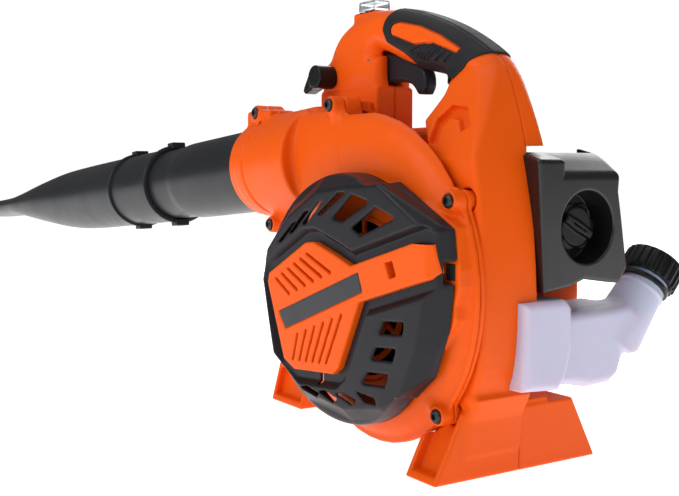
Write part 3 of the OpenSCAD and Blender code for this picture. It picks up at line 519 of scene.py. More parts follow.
def housing(left):
    lo = (-32, -31, -14) if left else (-32, -80, -14)
    hi = (310, 14, 294) if left else (310, -22, 294)
    f = Field(lo, hi, 1.25)
    p = f.p
    body, d2 = scroll_body(p, left)
    rim, groove, bore, q, r = collar(p)
    # the duct narrows from the collar's width to the scroll's
    narrow = 1 - 0.42 * np.clip((-q[0] - 30) / 110, 0, 1)
    across = hyp(q[1] / narrow, q[2])
    taper = np.maximum((across - COLLAR_R + 1) * 0.75, slab(q[0], -150, -14))
    d = join(body, taper, 12.0)
    d = join(d, rim, 5.0)
    # seam flange
    flange = prism(d2 - 2.4, slab(p[1], SEAM_B - 4.2, SEAM_B + 4.2), 1.4)
    keep_flange = meet(flange, -(r - COLLAR_R - 2), 0)
    d = join(d, keep_flange, 2.0)
    # upper clamp boss on the collar
    d = join(d, box3(p, (262, -40, 262), (306, -12, 283), 3.0), 3.0)
    for a, z in LUGS:
        boss = cyl(p, 1, (a, z), 7.3, -40, -11.5, 1.6)
        d = join(d, boss, 4.0)
        # a tail that runs off the boss along the seam
        ta, tz = (FAN_A - a), (FAN_Z - z)
        ln = math.hypot(ta, tz)
        d = join(d, cyl(p, 1, (a + ta / ln * 9, z + tz / ln * 9), 4.0, -40, -15.5, 2.0), 8.0)
    if left:
        # the angular pad at the rear under the door's end
        pad = prism(outline(p[0], p[2], PAD), slab(p[1], -30, -8.4), 1.2)
        d = join(d, pad, 2.5)
    else:
        d = join(d, box3(p, (166, -62, 262), (188, -26, 287), 2.5), 4.0)
        d = join(d, prism(outline(p[0], p[2], [(262, 230), (262, 266), (236, 274), (222, 230)]),
                          slab(p[1], -74, -30), 6), 12.0)
    # the middle is hollow
    inner = scroll_body(p, left, 3.2)[0]
    duct = np.maximum((across - TUBE_R + 3) * 0.75, slab(q[0], -150, 2))
    d = cut(d, join(inner, duct, 4.0), 1.0)
    d = cut(d, bore, 0.8)
    d = cut(d, groove, 1.0)
    d = cut(d, cyl(p, 1, (FAN_A, FAN_Z), 66.0, -18, 20), 1.0)
    d = cut(d, cyl(p, 1, (FAN_A, FAN_Z), 15.0, -90, -66), 0.8)
    for a, z in LUGS:
        d = cut(d, cyl(p, 1, (a, z), 2.7, -50, 0), 0.3)
        d = cut(d, cyl(p, 1, (a, z), 5.6, -12.8, 0), 0.5)
    # each half stops short of the seam with a softened edge
    side = (SEAM_B + 0.25) - p[1] if left else p[1] - (SEAM_B - 0.25)
    d = meet(d, side, 1.1)
    name = "housing_left_shell" if left else "housing_right_shell"
    return solid(name, f, d, "housing", M["orange_plastic"],
                 ["volute_left"] if left else ["volute_right"])


housing(True)
housing(False)

# ---- intake door ----

def face_b(p):
    """How far a point lies in front of the door's sloping face."""
    return (p[1] - (9 + 0.12 * p[0])) * 0.993


INSERT = [(188, 134), (186, 142), (137, 170), (127, 171), (103, 163), (82, 155), (5, 179), (-3, 176),
          (-7, 156), (-1, 151), (72, 128), (96, 74), (103, 68), (152, 65), (166, 72)]
REAR_CORNER = [(-12, 187), (-15, 164), (-7, 112), (8, 78), (30, 60), (70, 90), (80, 215), (52, 219)]
HINGE = (208.0, 2.0)
FRONT_PANEL = [(124, 211), (90, 215), (52, 217), (1, 184), (1, 145), (5, 125), (11, 98), (27, 61),
               (49, 51), (92, 43), (143, 50), (181, 75), (196, 135), (189, 161), (160, 190)]
BIG_VENTS = [[(81, 208), (65, 204), (92, 190), (102, 191)],
             [(54, 199), (37, 193), (71.5, 180), (79.5, 184)]]
SLIM_VENTS = [[(97, 210), (90, 210.5), (118, 193), (121, 193.5)],
              [(121, 202.5), (116, 203.5), (137, 185.5), (141, 185)],
              [(139, 194), (134, 195.5), (154, 178), (158, 177)],
              [(155, 184), (151, 186), (169, 170), (173, 169)]]
SIDE_VENTS = [[(44.5, 115), (25, 116.5), (26, 110), (48, 108)],
              [(53, 94.5), (33.5, 96), (36, 89), (56.6, 87.5)],
              [(62, 74.5), (41, 76), (44, 69), (67, 67.5)]]
LOW_VENTS = [[(144, 51.5), (125, 46.5), (121, 49.5), (136, 53)],
             [(120, 51.5), (103, 46), (99, 49), (113, 53)], [(98.5, 53), (81, 48), (76, 52), (92, 55)],
             [(74, 58.5), (55, 56.5), (53, 53), (66, 53)]]


def stroke(p, a, b, half):
    """In-plane distance to a round-ended stroke from a to b."""
    ex, ez = b[0] - a[0], b[1] - a[1]
    t = np.clip(((p[0] - a[0]) * ex + (p[2] - a[1]) * ez) / (ex * ex + ez * ez), 0, 1)
    return hyp(p[0] - a[0] - ex * t, p[2] - a[1] - ez * t) - half


def slots(p, first, last, count, half):
    """Parallel round-ended slots between two end segments."""
    d = None
    for k in range(count):
        s = k / (count - 1)
        a, b = [tuple(f + (l - f) * s for f, l in zip(first[i], last[i])) for i in (0, 1)]
        one = stroke(p, a, b, half)
        d = one if d is None else np.minimum(d, one)
    return d


def panel_field(p, face):
    """The door's flat front panel with its sloping edges."""
    return meet((outline(p[0], p[2], FRONT_PANEL) + face) * 0.707, face, 1.4)


def door():
    f = Field((-19, -12, 22), (214, 42, 230), 1.0)
    p = f.p
    face = face_b(p)
    disc = ring2(p[0], p[2], FAN_A, FAN_Z, 100.0)
    corner = outline(p[0], p[2], REAR_CORNER)
    o = join(disc, corner, 4.0)
    ins = outline(p[0], p[2], INSERT)
    # a rounded drum with a faceted panel on its face
    drum = meet(o, face + 11.0, 8.0)
    panel = meet(panel_field(p, face), o + 0.8, 1.5)
    outer = join(drum, panel, 1.0)
    channel = np.maximum(ins - 7.5 - (face + 5.5) * 0.7, -(face + 5.5))
    outer = cut(outer, channel, 0.8)
    wall = np.maximum(outer, (SIDE_B + 0.6) - p[1])
    wall = cut(wall, outer + 2.7, 0.4)
    for v in BIG_VENTS + SIDE_VENTS:
        wall = cut(wall, outline(p[0], p[2], v) - 0.8 - pos(face + 2.5) * 0.5, 0.8)
    for v in SLIM_VENTS + LOW_VENTS:
        wall = cut(wall, outline(p[0], p[2], v) - 0.6, 0.6)
    # notch at the bottom middle, window for the insert's back, finger notch at the rear
    wall = cut(wall, box3(p, (121.5, -20, 56), (125, 60, 66), 0.5) + 0 * face, 0.4)
    wall = cut(wall, np.maximum(ins + 6, -(face + 14)), 0.6)
    wall = cut(wall, box3(p, (-24, -40, 148), (12, -1, 164)), 0.5)
    # hinge barrel at the front edge
    barrel = cyl(p, 2, HINGE, 5.0, 102, 150, 0.8)
    wall = join(wall, barrel, 2.0)
    wall = cut(wall, cyl(p, 2, HINGE, 2.1, 90, 160), 0.2)
    solid("door_cover", f, wall, "cover", M["charcoal_plastic"], ["intake_cover"])

    g = Field((-12, -2, 60), (194, 36, 176), 0.9)
    p = g.p
    face = face_b(p)
    ins = outline(p[0], p[2], INSERT)
    d = prism(ins, slab(face, -12.0, 0.6), 1.5)
    d = meet(d, panel_field(p, face) - 0.8, 0.8)
    d = cut(d, slots(p, ((176.4, 138.1), (158.6, 126.7)), ((135.2, 161.1), (106.0, 148.2)), 6, 1.25),
            0.5)
    d = cut(d, slots(p, ((147.5, 94.8), (153.5, 73.3)), ((92.5, 116.1), (110.8, 76.2)), 6, 1.25), 0.5)
    d = cut(d, outline(p[0], p[2], [(43, 160), (35, 162.5), (31, 151), (38, 148.5)]), 0.4)
    label = [(173, 111), (73, 151), (68, 136), (164, 97)]
    d = cut(d, np.maximum(outline(p[0], p[2], label) - 0.4, -(face + 0.5)), 0.3)
    solid("door_insert", g, d, "cover", M["orange_plastic"], ["intake_insert"])
    h = Field((60, 6, 90), (180, 34, 158), 0.9)
    p = h.p
    face = face_b(p)
    d = prism(outline(p[0], p[2], label) + 0.2, slab(face, -2.5, 0.35), 0.4)
    solid("door_label", h, d, "cover", M["label_grey"], ["badge_plate"])


door()

# ---- frame: handle, band and feet ----

OUTER = spline([(252, 300), (246, 325), (233, 346), (214, 358), (190, 364), (168, 366), (133, 361),
                (99, 351), (67, 338), (35, 320), (20, 306), (8, 280), (-3, 245), (-10, 205), (-15, 165),
                (-17, 125), (-14, 85), (-4, 56)])
INNER = spline([(163, 300), (168, 316), (170, 330), (157, 328), (137, 320), (115, 313), (92, 308),
                (76, 304), (67, 297), (65, 288), (69, 279), (76, 266)])
BAND_IN = [scroll_point(t, 12) for t in range(247, 142, -8)]
HANDLE = OUTER + [(24, 56)] + BAND_IN[::-1] + INNER[::-1]


def foot(p, a0, a1, b0, b1, slope, top, e=2.2):
    """Box-section foot with sloping sunken ends."""
    o = outline(p[1], p[2], [(b0, 0), (b0 - slope, top), (b1 + slope, top), (b1, 0)])
    d = prism(o, slab(p[0], a0, a1), e)
    for b, s in ((b0, 1), (b1, -1)):
        # sunken channel in the sloping end
        away = ((p[1] - b) * s * top + p[2] * slope) / math.hypot(slope, top)
        frame_in = np.maximum(slab(p[0], a0 + 5, a1 - 5), slab(p[2], 6, top - 6))
        d = cut(d, prism(frame_in, -(away + 8), 1.5), 1.3)
    hollow = np.maximum(outline(p[1], p[2], [(b0 - 26, 4), (b0 - slope - 20, top - 5),
                                             (b1 + slope + 20, top - 5), (b1 + 26, 4)]),
                        slab(p[0], a0 + 4, a1 + 5))
    return cut(d, hollow, 1.2)


def handle_body(p):
    """The handle's tube, which widens to the left as its rear leg comes down, its outline and left face."""
    o = outline(p[0], p[2], HANDLE)
    face = (p[1] - np.interp(p[2], [235, 306], [-29.0, HANDLE_LEFT])) * 0.92
    edge = np.interp(p[2], [244, 306], [4.0, 15.0])
    return prism(o, np.maximum(face, HANDLE_RIGHT - p[1]), edge), o, face


def handle_core(p):
    """The handle with its front column, base block and switch platform."""
    body, o, face = handle_body(p)
    base = box3(p, (162, HANDLE_RIGHT, 257), (253, HANDLE_LEFT, 300), 2.5)
    column = prism(outline(p[0], p[2], [(254, 296), (246, 326), (163, 326), (163, 296)]),
                   slab(p[1], HANDLE_RIGHT, HANDLE_LEFT), 9.0)
    d = join(body, column, 6.0)
    d = join(d, box3(p, (176, -92, 350), (212, -71, 367.5), 2.0), 3.0)
    # the base block stands a little proud of the column
    return join(d, base, 1.5), o, face


def handle_cuts(p, d):
    """Trigger slot and switch seat."""
    d = cut(d, box3(p, (106, -89, 301), (190, -74.5, 336), 1.0), 1.2)
    return cut(d, box3(p, (181.4, -90.9, 364.8), (206.6, -72.1, 385)), 0.4)


KNOB = (232, 312)
HOOK = [(57, 248), (57, 266), (44, 277), (24, 274), (14, 260), (23, 256), (30, 265), (40, 267),
        (46, 260), (46, 248)]


def frame_left():
    f = Field((-24, -84, -4), (260, 3, 372), 1.25)
    p = f.p
    d, o, face = handle_core(p)
    d = np.maximum(d, 40 - p[2])
    feet = foot(p, 0, 37, 0, -163, 26, 50)
    web = prism(outline(p[0], p[2], [(-12, 62), (-3, 44), (1, 20), (34, 20), (34, 52), (26, 72)]),
                slab(p[1], -110, -29.5), 3)
    d = join(d, feet, 4.0)
    d = join(d, web, 6.0)
    # hook-shaped recess above the band's inner top
    d = cut(d, np.maximum(outline(p[0], p[2], HOOK), -(face + 6)), 1.5)
    # hollow of the band towards the fan housing
    d2 = outline(p[0], p[2], SCROLL)
    d = cut(d, np.maximum(d2 + 13.6, slab(p[1], -90, -20)), 1.0)
    d = cut(d, np.maximum(d2 - 3.4, -28.6 - p[1]), 0.6)
    for a, z in LUGS:
        d = cut(d, cyl(p, 1, (a, z), 9.2, -41, 0), 0.8)
    d = handle_cuts(p, d)
    d = cut(d, cyl(p, 1, KNOB, 6.3, -90, -50), 0.6)
    d = meet(d, (HANDLE_B + 0.15) - p[1], 0.9)
    solid("frame_left_shell", f, d, "housing", M["orange_plastic"], ["frame_left"])


def frame_right():
    f = Field((-24, -106, 230), (260, -80, 372), 1.25)
    p = f.p
    d, o, face = handle_core(p)
    d = np.maximum(d, 246 - p[2])
    d = cut(d, box3(p, (-40, -300, 200), (21.5, -60, 239)), 0.8)
    d = handle_cuts(p, d)
    d = meet(d, p[1] - (HANDLE_B - 0.15), 0.9)
    solid("handle_right_shell", f, d, "housing", M["orange_plastic"], ["handle_right"])
    g = Field((-3, -166, -3), (40, -80, 60), 1.1)
    p = g.p
    d = foot(p, 0, 37, 0, -163, 26, 50)
    # small step on the rear face under the tank
    d = join(d, prism(outline(p[1], p[2], [(-84, 44), (-110, 44), (-111, 54), (-60, 54)]),
                      slab(p[0], 1, 34), 1.2), 2.0)
    d = meet(d, p[1] - (HANDLE_B - 0.15), 0.9)
    solid("rear_foot_right_shell", g, d, "housing", M["orange_plastic"],
          ["rear_foot_right"])


frame_left()
frame_right()

GRIP_ZONE = [(140, 372), (148, 357), (152, 346), (146, 335), (123, 324.5), (113, 317), (109, 300),
             (84, 290), (56, 296), (47, 303.5), (41, 310), (28, 317), (20, 330), (30, 360), (90, 380)]
WINDOW = [(139, 341), (140, 345), (137, 349), (129, 350), (102, 344), (76, 334), (51, 321), (54, 318),
          (83, 329), (107, 330)]
RIBS = [((97.4, 327), (112.6, 324)), ((91, 328), (109.5, 321.5)), ((85.7, 328), (105, 319.4)),
        ((81, 327), (101, 318)), ((77, 325.4), (96.5, 316.6)), ((72.5, 323.4), (92, 315.4)),
        ((66.5, 320), (80.5, 314)), ((60.5, 317), (69, 312))]


def grip():
    f = Field((14, -106, 288), (160, -57, 372), 0.95)
    p = f.p
    core = handle_body(p)[0]
    zone = outline(p[0], p[2], GRIP_ZONE)
    win = outline(p[0], p[2], WINDOW)
    d = meet(core - 1.7, zone, 1.6)
    # moulded ridges along the crown
    crown = slab(np.abs(p[1] - HANDLE_B), 6.5, 7.5)
    d = cut(d, np.maximum(crown, -(core - 0.9)), 0.5)
    side = np.abs(p[1] - HANDLE_B)
    d = cut(d, np.maximum(win - 0.5, 10 - side), 0.7)
    for a, b in RIBS:
        d = cut(d, np.maximum(stroke(p, a, b, 1.0), np.maximum(-(core - 0.4), 10 - side)), 0.4)
    d = cut(d, core + 0.6, 0.0)
    d = cut(d, box3(p, (106, -89, 280), (176, -74, 334), 1.0), 0.8)
    solid("grip_sleeve", f, d, "housing", M["soft_grip"], ["grip_overmould"])
    g = Field((44, -106, 312), (146, -57, 356), 0.9)
    p = g.p
    core = handle_body(p)[0]
    win = outline(p[0], p[2], WINDOW)
    d = meet(core - 1.5, win + 0.3, 1.2)
    d = np.maximum(d, 11 - np.abs(p[1] - HANDLE_B))
    d = cut(d, core + 0.8, 0.0)
    solid("grip_windows", g, d, "housing", M["orange_plastic"])


grip()


def trigger():
    f = Field((106, -92, 286), (186, -71, 334), 0.8)
    p = f.p
    t = spline([(181, 326), (166, 329), (144, 325), (126, 318), (113, 310), (110.5, 298),
                (114.5, 290.5)]) + spline([(123, 291), (129, 297.5), (136, 301), (150, 303.3),
                                           (166, 303.3), (178, 309), (182, 318)])
    d = prism(outline(p[0], p[2], t), slab(p[1], HANDLE_B - 6.4, HANDLE_B + 6.4), 3.6)
    solid("trigger_lever", f, d, "trigger", M["charcoal_plastic"], ["trigger"])


trigger()


def knob():
    f = Field((218, -70, 292), (262, -38, 326), 0.8)
    p = f.p
    d = cyl(p, 1, KNOB, 10.5, -60.9, -41.5, 1.5)
    c, s = math.cos(math.radians(24)), math.sin(math.radians(24))
    q = ((p[0] - 232) * c - (p[2] - 312) * s, p[1], (p[0] - 232) * s + (p[2] - 312) * c)
    tab = prism(outline(q[0], q[2], [(0, 9), (0, -8), (23, -5.5), (25, -2), (22, 1), (10, 8)]),
                slab(q[1], -56, -43), 1.5)
    d = join(d, tab, 2.5)
    d = join(d, cyl(p, 1, KNOB, 6.0, -67.5, -60), 0)
    solid("throttle_lock", f, d, "throttle_lock", M["black_plastic"], ["lock_knob"])


knob()


def front_foot():
    f = Field((256, -162, -3), (324, -40, 60), 1.2)
    p = f.p
    d = foot(p, 262, 320, -45, -158, 10, 38)
    g = Field((150, -118, -1), (324, -84, 144), 1.4)
    solid("front_foot_shell", f, d, "housing", M["orange_plastic"], ["front_foot"])
    p = g.p
    arm = prism(outline(p[0], p[2], [(264, 8), (284, 35), (205, 139), (161, 139), (161, 112)]),
                slab(p[1], -116, -86), 3)
    arm = cut(arm, cyl(p, 1, (FAN_A, FAN_Z), 70, -200, -60), 1)
    solid("front_foot_arm", g, arm, "housing", M["orange_plastic"])


front_foot()

# ---- tube and nozzle ----

def turned_part(name, profile, body, slot_name, nodes, n=96):
    ob = lathe(name, profile, OUT, n)
    return piece(ob, body, M[slot_name], nodes)


SMALL_R = TUBE_R - 1.8
NOZZLE_AT, TIP_AT, RING_GAP = 192.0, 806.0, 96.0
turned_part("air_tube", [(TUBE_R, -30), (TUBE_R, 60), (TUBE_R, 133), (TUBE_R - 0.2, 138),
                         (TUBE_R - 0.9, 143), (SMALL_R + 0.2, 148), (SMALL_R, 152), (SMALL_R, 200),
                         (SMALL_R, 228), (SMALL_R - 2, 228), (SMALL_R - 2, 146), (TUBE_R - 2, 138),
                         (TUBE_R - 2, -30)], "housing", "tube_plastic", ["blower_tube"])

NECK_R = SMALL_R + 2.7
KEYS = spline([(232, NECK_R, NECK_R, 0), (330, NECK_R + 0.6, NECK_R, 0.5),
               (430, NECK_R + 1.6, NECK_R - 0.6, 0.8), (494, 44, 37.5, 1.8), (560, 45, 29.5, 3.0),
               (625, 44.5, 19.5, 4.0), (680, 43, 13.6, 5.2), (800, 42, 12, 6.5)], 6)
KEYS = [(NOZZLE_AT, NECK_R, NECK_R, 0), (NOZZLE_AT + 8, NECK_R, NECK_R, 0)] + KEYS


def nozzle_ring(key, w, n=96):
    t, half_w, half_h, drop = key
    power = 1 - 0.35 * (1 - half_h / half_w)
    o, along, side, up = OUT
    ring = []
    for k in range(n):
        a = 2 * math.pi * k / n
        c, s = math.cos(a), math.sin(a)
        x = (half_w - w) * math.copysign(abs(c) ** power, c)
        y = (half_h - w) * math.copysign(abs(s) ** power, s) + drop
        ring.append(o + along * t + side * x + up * y)
    return ring


tip = KEYS[-1]
outer = [nozzle_ring(k, 0) for k in KEYS] + [nozzle_ring((tip[0] + 4, tip[1] - 0.8, tip[2] - 0.6,
                                                          tip[3]), 0), nozzle_ring((TIP_AT,
    tip[1] - 2.4, tip[2] - 1.8, tip[3]), 0)]
inner = [nozzle_ring((TIP_AT, tip[1] - 3.2, tip[2] - 2.8, tip[3]), 0)] + [nozzle_ring(k,
    2.2) for k in reversed(KEYS)]
piece(loft("nozzle_shell", outer + inner), "nozzle", M["tube_plastic"], ["nozzle"])


def nozzle_band(name, at, key):
    """A raised ring with small square ears, as one moulding."""
    t, hw, hh, drop = key
    prof = [(-0.4, 0), (2.0, 0.5), (2.6, 1.2), (2.6, 4.8), (2.0, 5.5), (-0.4, 6)]
    rings = [nozzle_ring((at + w, hw + g, hh + g, drop), 0) for g, w in prof]
    ob = loft(name, rings)
    piece(ob, "nozzle", M["tube_plastic"])
    o, along, side, up = OUT
    for s, tag in ((1, "top"), (-1, "low")):
        f = Field((-9, -10, -6), (9, 10, 6), 0.6)
        d = box3(f.p, (-7, -8, -4), (7, 8, 3.8), 1.4)
        d = cut(d, box3(f.p, (-3.6, -3.5, 2.6), (3.6, 3.5, 9), 0.5), 0.5)
        pts, quads, nrm = surface(f, d)
        centre = o + along * (at + 3) + up * (s * (hh + 1.6) + drop)
        basis = np.array([along, side * s, up * s])
        world = centre + pts @ basis
        ear = mesh_object(f"{name}_ear_{tag}", world, quads, nrm @ basis)
        piece(ear, "nozzle", M["tube_plastic"])


nozzle_band("nozzle_ring_rear", NOZZLE_AT, (NOZZLE_AT, NECK_R, NECK_R, 0))
nozzle_band("nozzle_ring_front", NOZZLE_AT + RING_GAP, (NOZZLE_AT + RING_GAP, NECK_R + 0.4, NECK_R, 0.3))

# ---- air cleaner ----

# the twist knob of the air cleaner, left and up
FILTER = (-127.5, 185.0)


def air_box():
    f = Field((-25, -178, 131), (23, -70, 252), 0.95)
    p = f.p
    o = outline(p[1], p[2], [(-84, 137), (-75, 262), (-156, 262), (-162, 224), (-161, 211), (-164, 196),
                             (-172, 152), (-163, 140.5), (-150, 142), (-126, 145.5), (-112, 141)])
    d = prism(o, slab(p[0], -22, 19.5), 2.6)
    # the top climbs to the front, with a scooped corner over the rear face
    d = meet(d, (p[2] - 235.5 - 0.24 * (p[0] + 22)) * 0.97, 3.0)
    d = cut(d, np.maximum(p[1] + 104, (225 + 0.8 * (p[0] + 22) - p[2]) * 0.78), 4.0)
    cup = cyl(p, 0, FILTER, 27.5, -30, 2)
    d = cut(d, cup, 1.6)
    d = cut(d, np.maximum(o + 3, slab(p[0], 3.5, 25)), 0.6)
    d = cut(d, cyl(p, 0, FILTER, 3.5, -30, 30), 0.3)
    # a parting line round the box near its front edge
    d = cut(d, hyp(p[0] - 12, pos(-(o + 0.2))) - 0.7, 0.4)
    satin = material("air_box_satin", (0.008, 0.008, 0.009), 0.30, Specular_IOR_Level=0.6, grain=0.15,
                     wear=0.25, vary=0.08)
    solid("air_cleaner_box", f, d, "housing", satin, ["air_box_cover"])
    g = Field((-16, -150, 163), (3, -105, 207), 0.75)
    p = g.p
    u, v = p[1] - FILTER[0], p[2] - FILTER[1]
    r = hyp(u, v)
    lobes = 18.5 + 1.6 * np.cos(6 * np.arctan2(v, u))
    d = prism((r - 15.5) + 0 * p[0], slab(p[0], -11, 1.4), 1.5)
    d = join(d, prism((r - lobes) * 0.8 + 0 * p[0], slab(p[0], -9.5, -3.5), 1.6), 1.2)
    # twist bar across the face
    c, s = math.cos(math.radians(28)), math.sin(math.radians(28))
    bu, bv = u * c + v * s, v * c - u * s
    bar = prism(np.maximum(np.abs(bu) - 15.5, np.abs(bv) - 4.2 + np.abs(bu) * 0.06) + 0 * p[0],
                slab(p[0], -14, -8), 1.6)
    d = join(d, bar, 1.6)
    d = cut(d, np.maximum(np.abs(bu) - 8, np.abs(bv) - 0.7) + np.maximum(-(p[0] + 13.4), 0), 0.3)
    d = cut(d, cyl(p, 0, FILTER, 3.1, -9, 5), 0.2)
    solid("air_cleaner_knob", g, d, "filter_knob", M["black_plastic"], ["filter_knob"])


air_box()

# ---- fuel tank ----

CAP_AT = np.array(joints["fuel_cap_twist"]["pos_m"]) * 1000 - [DX, DY, 0]
NECK_UP = np.array(joints["fuel_cap_twist"]["axis"])
FILLER_R = 19.0
NECK = frame_of(CAP_AT, NECK_UP, (1, 0, 0))


def tank():
    f = Field((-29, -244, 56), (44, -58, 156), 1.15)
    p = f.p
    low = outline(p[1], p[2], [(-98, 66), (-104, 118), (-118, 120), (-180, 122), (-188, 116),
                               (-190, 108), (-188, 100), (-178, 94), (-174, 86), (-167.5, 68),
                               (-158, 62), (-134, 61), (-119, 65)])
    band = outline(p[1], p[2], [(-62, 66), (-62, 131), (-104, 132), (-110, 126), (-111, 92), (-104, 72),
                                (-97, 64)])
    d = prism(low, slab(p[0], -20, 40), 7.0)
    d = join(d, prism(band, slab(p[0], -26, 20), 6.0), 1.0)
    q = turned(p, CAP_AT, ((1, 0, 0), NECK_UP, np.cross(NECK_UP, (1, 0, 0))))
    r = hyp(q[0], q[2])
    neck = prism(r - FILLER_R - 0.06 * pos(-q[1] - 22), slab(q[1], -80, -4), 1.2)
    neck = np.maximum(neck, 84 - p[2])
    d = join(d, neck, 7.0)
    d = join(d, prism(r - FILLER_R - 1.4, slab(q[1], -25.5, -22.5), 1.0), 0.8)
    # moulding flash line round the tank
    d = join(d, np.maximum(np.abs(p[0] + 4) - 0.7, np.maximum(low - 0.9, -(low + 3))), 0.8)
    inside = np.maximum(low + 5, slab(p[0], -15, 35))
    d = cut(d, inside, 1.0)
    d = cut(d, np.maximum(r - FILLER_R + 2.5, slab(q[1], -60, 10)), 0.6)
    d = cut(d, cyl(p, 2, (30, -110), 6.0, 115, 140), 0.6)
    solid("fuel_tank_moulding", f, d, "housing", M["tank_plastic"], ["fuel_tank"])


tank()


def cap():
    o, t, s, u = NECK
    count, n = 22, 22 * 10

    def rib(r, w, a):
        if r < 23.4 or w > 7.0:
            return r
        wave = math.cos(count * a)
        return r - 0.9 + 1.3 * max(-0.55, min(0.75, wave * 1.6))
    prof = [(0.01, 8), (12, 8), (20, 8), (22.9, 7.7), (24.1, 6.8), (24.5, 6.0), (24.7, 3), (24.7, -4),
            (24.7, -9.6), (24.5, -11.4), (23.9, -12), (19.6, -12), (19.6, 3.4), (9, 3.4), (0.01, 3.4)]
    ob = lathe("fuel_cap_ribbed", prof, NECK, n, rib)
    piece(ob, "fuel_cap", M["black_plastic"], ["fuel_cap"])
    disc = lathe("fuel_cap_disc", [(0.01, 8.35), (13.6, 8.35), (14.2, 8.1), (14.2, 7.6), (0.01, 7.6)],
                 NECK, 64)
    piece(disc, "fuel_cap", M["black_plastic"])
    ring = [(19.1, -18.8), (21.2, -18.8), (21.6, -18.3), (21.6, -15.4), (21.2, -15), (19.1, -15)]
    tether = lathe("cap_tether_ring", ring, NECK, 72)
    piece(tether, "housing", M["black_plastic"], ["cap_tether"])


cap()

# ---- screws ----

def screws():
    for i, (a, z) in enumerate(LUGS):
        at = frame_of((a, -12.4, z), (0, 1, 0), (1, 0, 0))
        head = lathe(f"housing_screw_{i + 1}", [(0.01, -26), (2.4, -26), (2.4, 0), (4.9, 0), (5.2, 0.5),
                                                (5.0, 2.0), (4.1, 2.9), (3.0, 3.2), (2.4, 3.2),
                                                (2.2, 0.9), (0.01, 0.6)], at, 36)
        piece(head, "housing", M["dark_steel"], ["housing_screws"] if i == 0 else ())


screws()

# ---- switch ----

def switch():
    f = Field((180, -90, 361), (208, -73, 373), 0.6)
    p = f.p
    d = box3(p, (187, -86.5, 364.2), (201, -76.5, 370), 1.0)
    d = cut(d, cyl(p, 1, (194, 381.5), 12.0, -90, -70), 0.8)
    solid("stop_rocker", f, d, "stop_switch", M["red_plastic"], ["stop_switch"])
    body = Field((179, -94, 338), (209, -69, 370), 0.8)
    b = body.p
    block = box3(b, (182, -90.5, 340), (206, -72.5, 367.8), 0.8)
    block = cut(block, box3(b, (185.5, -87.7, 363.4), (202.5, -75.3, 372)), 0.3)
    solid("switch_block", body, block, "housing", M["black_plastic"], ["switch_body"])
    g = Field((178, -93.5, 363), (210, -69.5, 381), 0.6)
    p = g.p
    d = box3(p, (181, -90.2, 367.6), (207, -72.8, 377.4), 2.2)
    d = cut(d, box3(p, (182.4, -88.8, 366), (205.6, -74.2, 376), 1.4), 0.3)
    d = cut(d, box3(p, (182.4, -88.8, 360), (205.6, -74.2, 368.4)), 0.2)
    solid("switch_clear_boot", g, d, "housing", M["clear_plastic"], ["switch_boot"])


switch()

# ---- right side: starter, shroud ----

def starter():
    f = Field((40, -194, 58), (178, -144, 194), 1.2)
    p = f.p
    r = ring2(p[0], p[2], FAN_A, FAN_Z, 0.0)
    d = prism(r - 64.0, slab(p[1], -190, -148), 7.0)
    d = cut(d, prism(r - 61.0, slab(p[1], -187, -140), 4.0), 0.5)
    d = join(d, prism(np.abs(r - 31) - 2.0, slab(p[1], -190.2, -186), 0.8), 1.0)
    ang = np.arctan2(p[0] - FAN_A, p[2] - FAN_Z)
    wave = np.abs((ang * 18 / (2 * math.pi) + 0.5) % 1.0 - 0.5) * (2 * math.pi / 18) * r
    vent = np.maximum(np.maximum(wave - 3.0, np.abs(r - 45) - 11), p[1] + 183)
    d = cut(d, vent, 1.0)
    d = cut(d, cyl(p, 1, (FAN_A, FAN_Z), 9.0, -191, -188.8), 0.8)
    d = join(d, cyl(p, 1, (FAN_A, FAN_Z), 5.0, -189, -167), 1.0)
    c, s = math.cos(math.radians(60)), math.sin(math.radians(60))
    q = ((p[0] - 152) * c - (p[2] - 156) * s, p[1] + 175, (p[0] - 152) * s + (p[2] - 156) * c)
    d = cut(d, np.maximum(hyp(q[0], q[1]) - 6, slab(q[2], 0, 40)), 0.8)
    solid("starter_cover", f, d, "housing", M["orange_plastic"], ["starter_housing"])


starter()


def shroud():
    f = Field((88, -180, 148), (218, -82, 268), 1.2)
    p = f.p
    d = box3(p, (92, -176, 152), (214, -70, 264), 9.0)
    d = np.maximum(d, p[1] + 86)
    d = cut(d, box3(p, (80, -173, 140), (211, -60, 261), 7.0), 0.5)
    d = cut(d, cyl(p, 1, (FAN_A, FAN_Z), 64.5, -200, -140), 1.0)
    d = cut(d, box3(p, (200, -158, 160), (220, -80, 226), 2.0), 1.0)
    for k in range(6):
        d = cut(d, box3(p, (100 + 15 * k, -160, 255), (107 + 15 * k, -104, 270), 1.0), 1.0)
    for k in range(5):
        d = cut(d, box3(p, (100 + 18 * k, -180, 204), (109 + 18 * k, -170, 244), 1.0), 1.0)
    c, s = math.cos(math.radians(60)), math.sin(math.radians(60))
    q = ((p[0] - 148) * c - (p[2] - 153.7) * s, p[1] + 175, (p[0] - 148) * s + (p[2] - 153.7) * c)
    d = cut(d, np.maximum(hyp(q[0], q[1]) - 9, slab(q[2], 0, 80)), 1.0)
    solid("engine_cowl", f, d, "housing", M["orange_plastic"], ["engine_shroud"])


shroud()

# ---- the parts that keep their CAD mesh ----

slot_of = {}
for n in record["subparts"]:
    slot_of[n["node"] if "node" in n else n["name"]] = n.get("slot") or n.get("material_slot")
replaced = set()
for o in bpy.context.scene.objects:
    replaced |= set(o.get("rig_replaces", []))
for name, ob in frame["nodes"].items():
    if name in replaced:
        continue
    s = slot_of.get(name) or "dark_steel"
    ob.data.materials.clear()
    ob.data.materials.append(CAD_M.get(s, M[s]))
    bevelled(ob, 0.35, 2, 40)

# ---- camera, light and floor ----

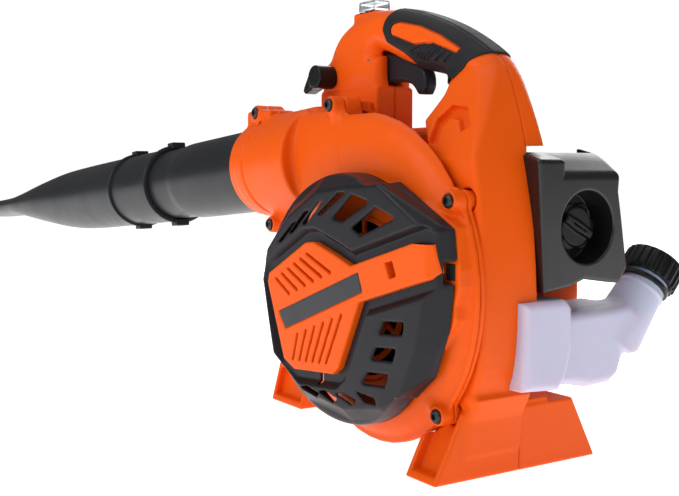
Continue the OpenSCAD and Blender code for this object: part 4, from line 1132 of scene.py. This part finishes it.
def camera():
    cam = bpy.data.cameras.new("camera")
    cam.lens, cam.sensor_width = 54.8, 36.0
    ob = bpy.data.objects.new("camera", cam)
    bpy.context.scene.collection.objects.link(ob)
    ob.location = Vector(metres([(-572, 453, 228)])[0])
    turn, tilt = math.radians(33), math.radians(4.32)
    look = Vector((math.cos(turn) * math.cos(tilt), -math.sin(turn) * math.cos(tilt), -math.sin(tilt)))
    ob.rotation_mode = "QUATERNION"
    ob.rotation_quaternion = look.to_track_quat("-Z", "Y")
    cam.clip_start, cam.clip_end = 0.01, 30
    bpy.context.scene.camera = ob


def area(name, at, to, size, power, colour=(1, 1, 1)):
    light = bpy.data.lights.new(name, "AREA")
    light.shape, light.size, light.size_y = "RECTANGLE", size[0], size[1]
    light.energy, light.color = power, colour
    ob = bpy.data.objects.new(name, light)
    bpy.context.scene.collection.objects.link(ob)
    ob.location = at
    ob.rotation_mode = "QUATERNION"
    ob.rotation_quaternion = (Vector(to) - Vector(at)).to_track_quat("-Z", "Y")
    return ob


camera()
world = bpy.data.worlds.new("studio")
bpy.context.scene.world = world
world.use_nodes = True
sky = world.node_tree.nodes["Background"]
sky.inputs["Color"].default_value = (1, 1, 1, 1)
# the backdrop is white, the light it gives is softer
seen = world.node_tree.nodes.new("ShaderNodeLightPath")
level = world.node_tree.nodes.new("ShaderNodeMapRange")
level.inputs[3].default_value, level.inputs[4].default_value = 0.16, 1.05
world.node_tree.links.new(seen.outputs["Is Camera Ray"], level.inputs[0])
world.node_tree.links.new(level.outputs[0], sky.inputs["Strength"])
area("key", (-0.2, 2.1, 1.5), (-0.25, 0, 0.15), (2.2, 1.3), 25)
area("top", (-0.2, 0.1, 2.1), (-0.2, 0, 0.1), (2.6, 1.4), 14)
area("fill", (-2.1, 0.2, 1.0), (-0.35, 0, 0.15), (1.4, 1.2), 3)
area("rim", (0.8, -1.8, 1.45), (-0.1, 0, 0.2), (2.4, 1.3), 26)
side = CAD_HI[0] * 30
floor = mesh_object("floor", [], [])
floor_mesh = bpy.data.meshes.new("floor_plane")
floor_mesh.from_pydata([(-side, -side, 0), (side, -side, 0), (side, side, 0), (-side, side, 0)], [],
                       [(0, 1, 2, 3)])
floor.data = floor_mesh
pale = bpy.data.materials.new("floor_pale")
pale.use_nodes = True
pale.node_tree.nodes["Principled BSDF"].inputs["Base Color"].default_value = (0.93, 0.93, 0.93, 1)
pale.node_tree.nodes["Principled BSDF"].inputs["Roughness"].default_value = 0.8
pale.node_tree.nodes["Principled BSDF"].inputs["Emission Color"].default_value = (1, 1, 1, 1)
pale.node_tree.nodes["Principled BSDF"].inputs["Emission Strength"].default_value = 0.88
floor_mesh.materials.append(pale)
floor.location.z = -0.0005
bpy.context.scene.view_settings.view_transform = "Standard"
bpy.context.scene.view_settings.look = "None"
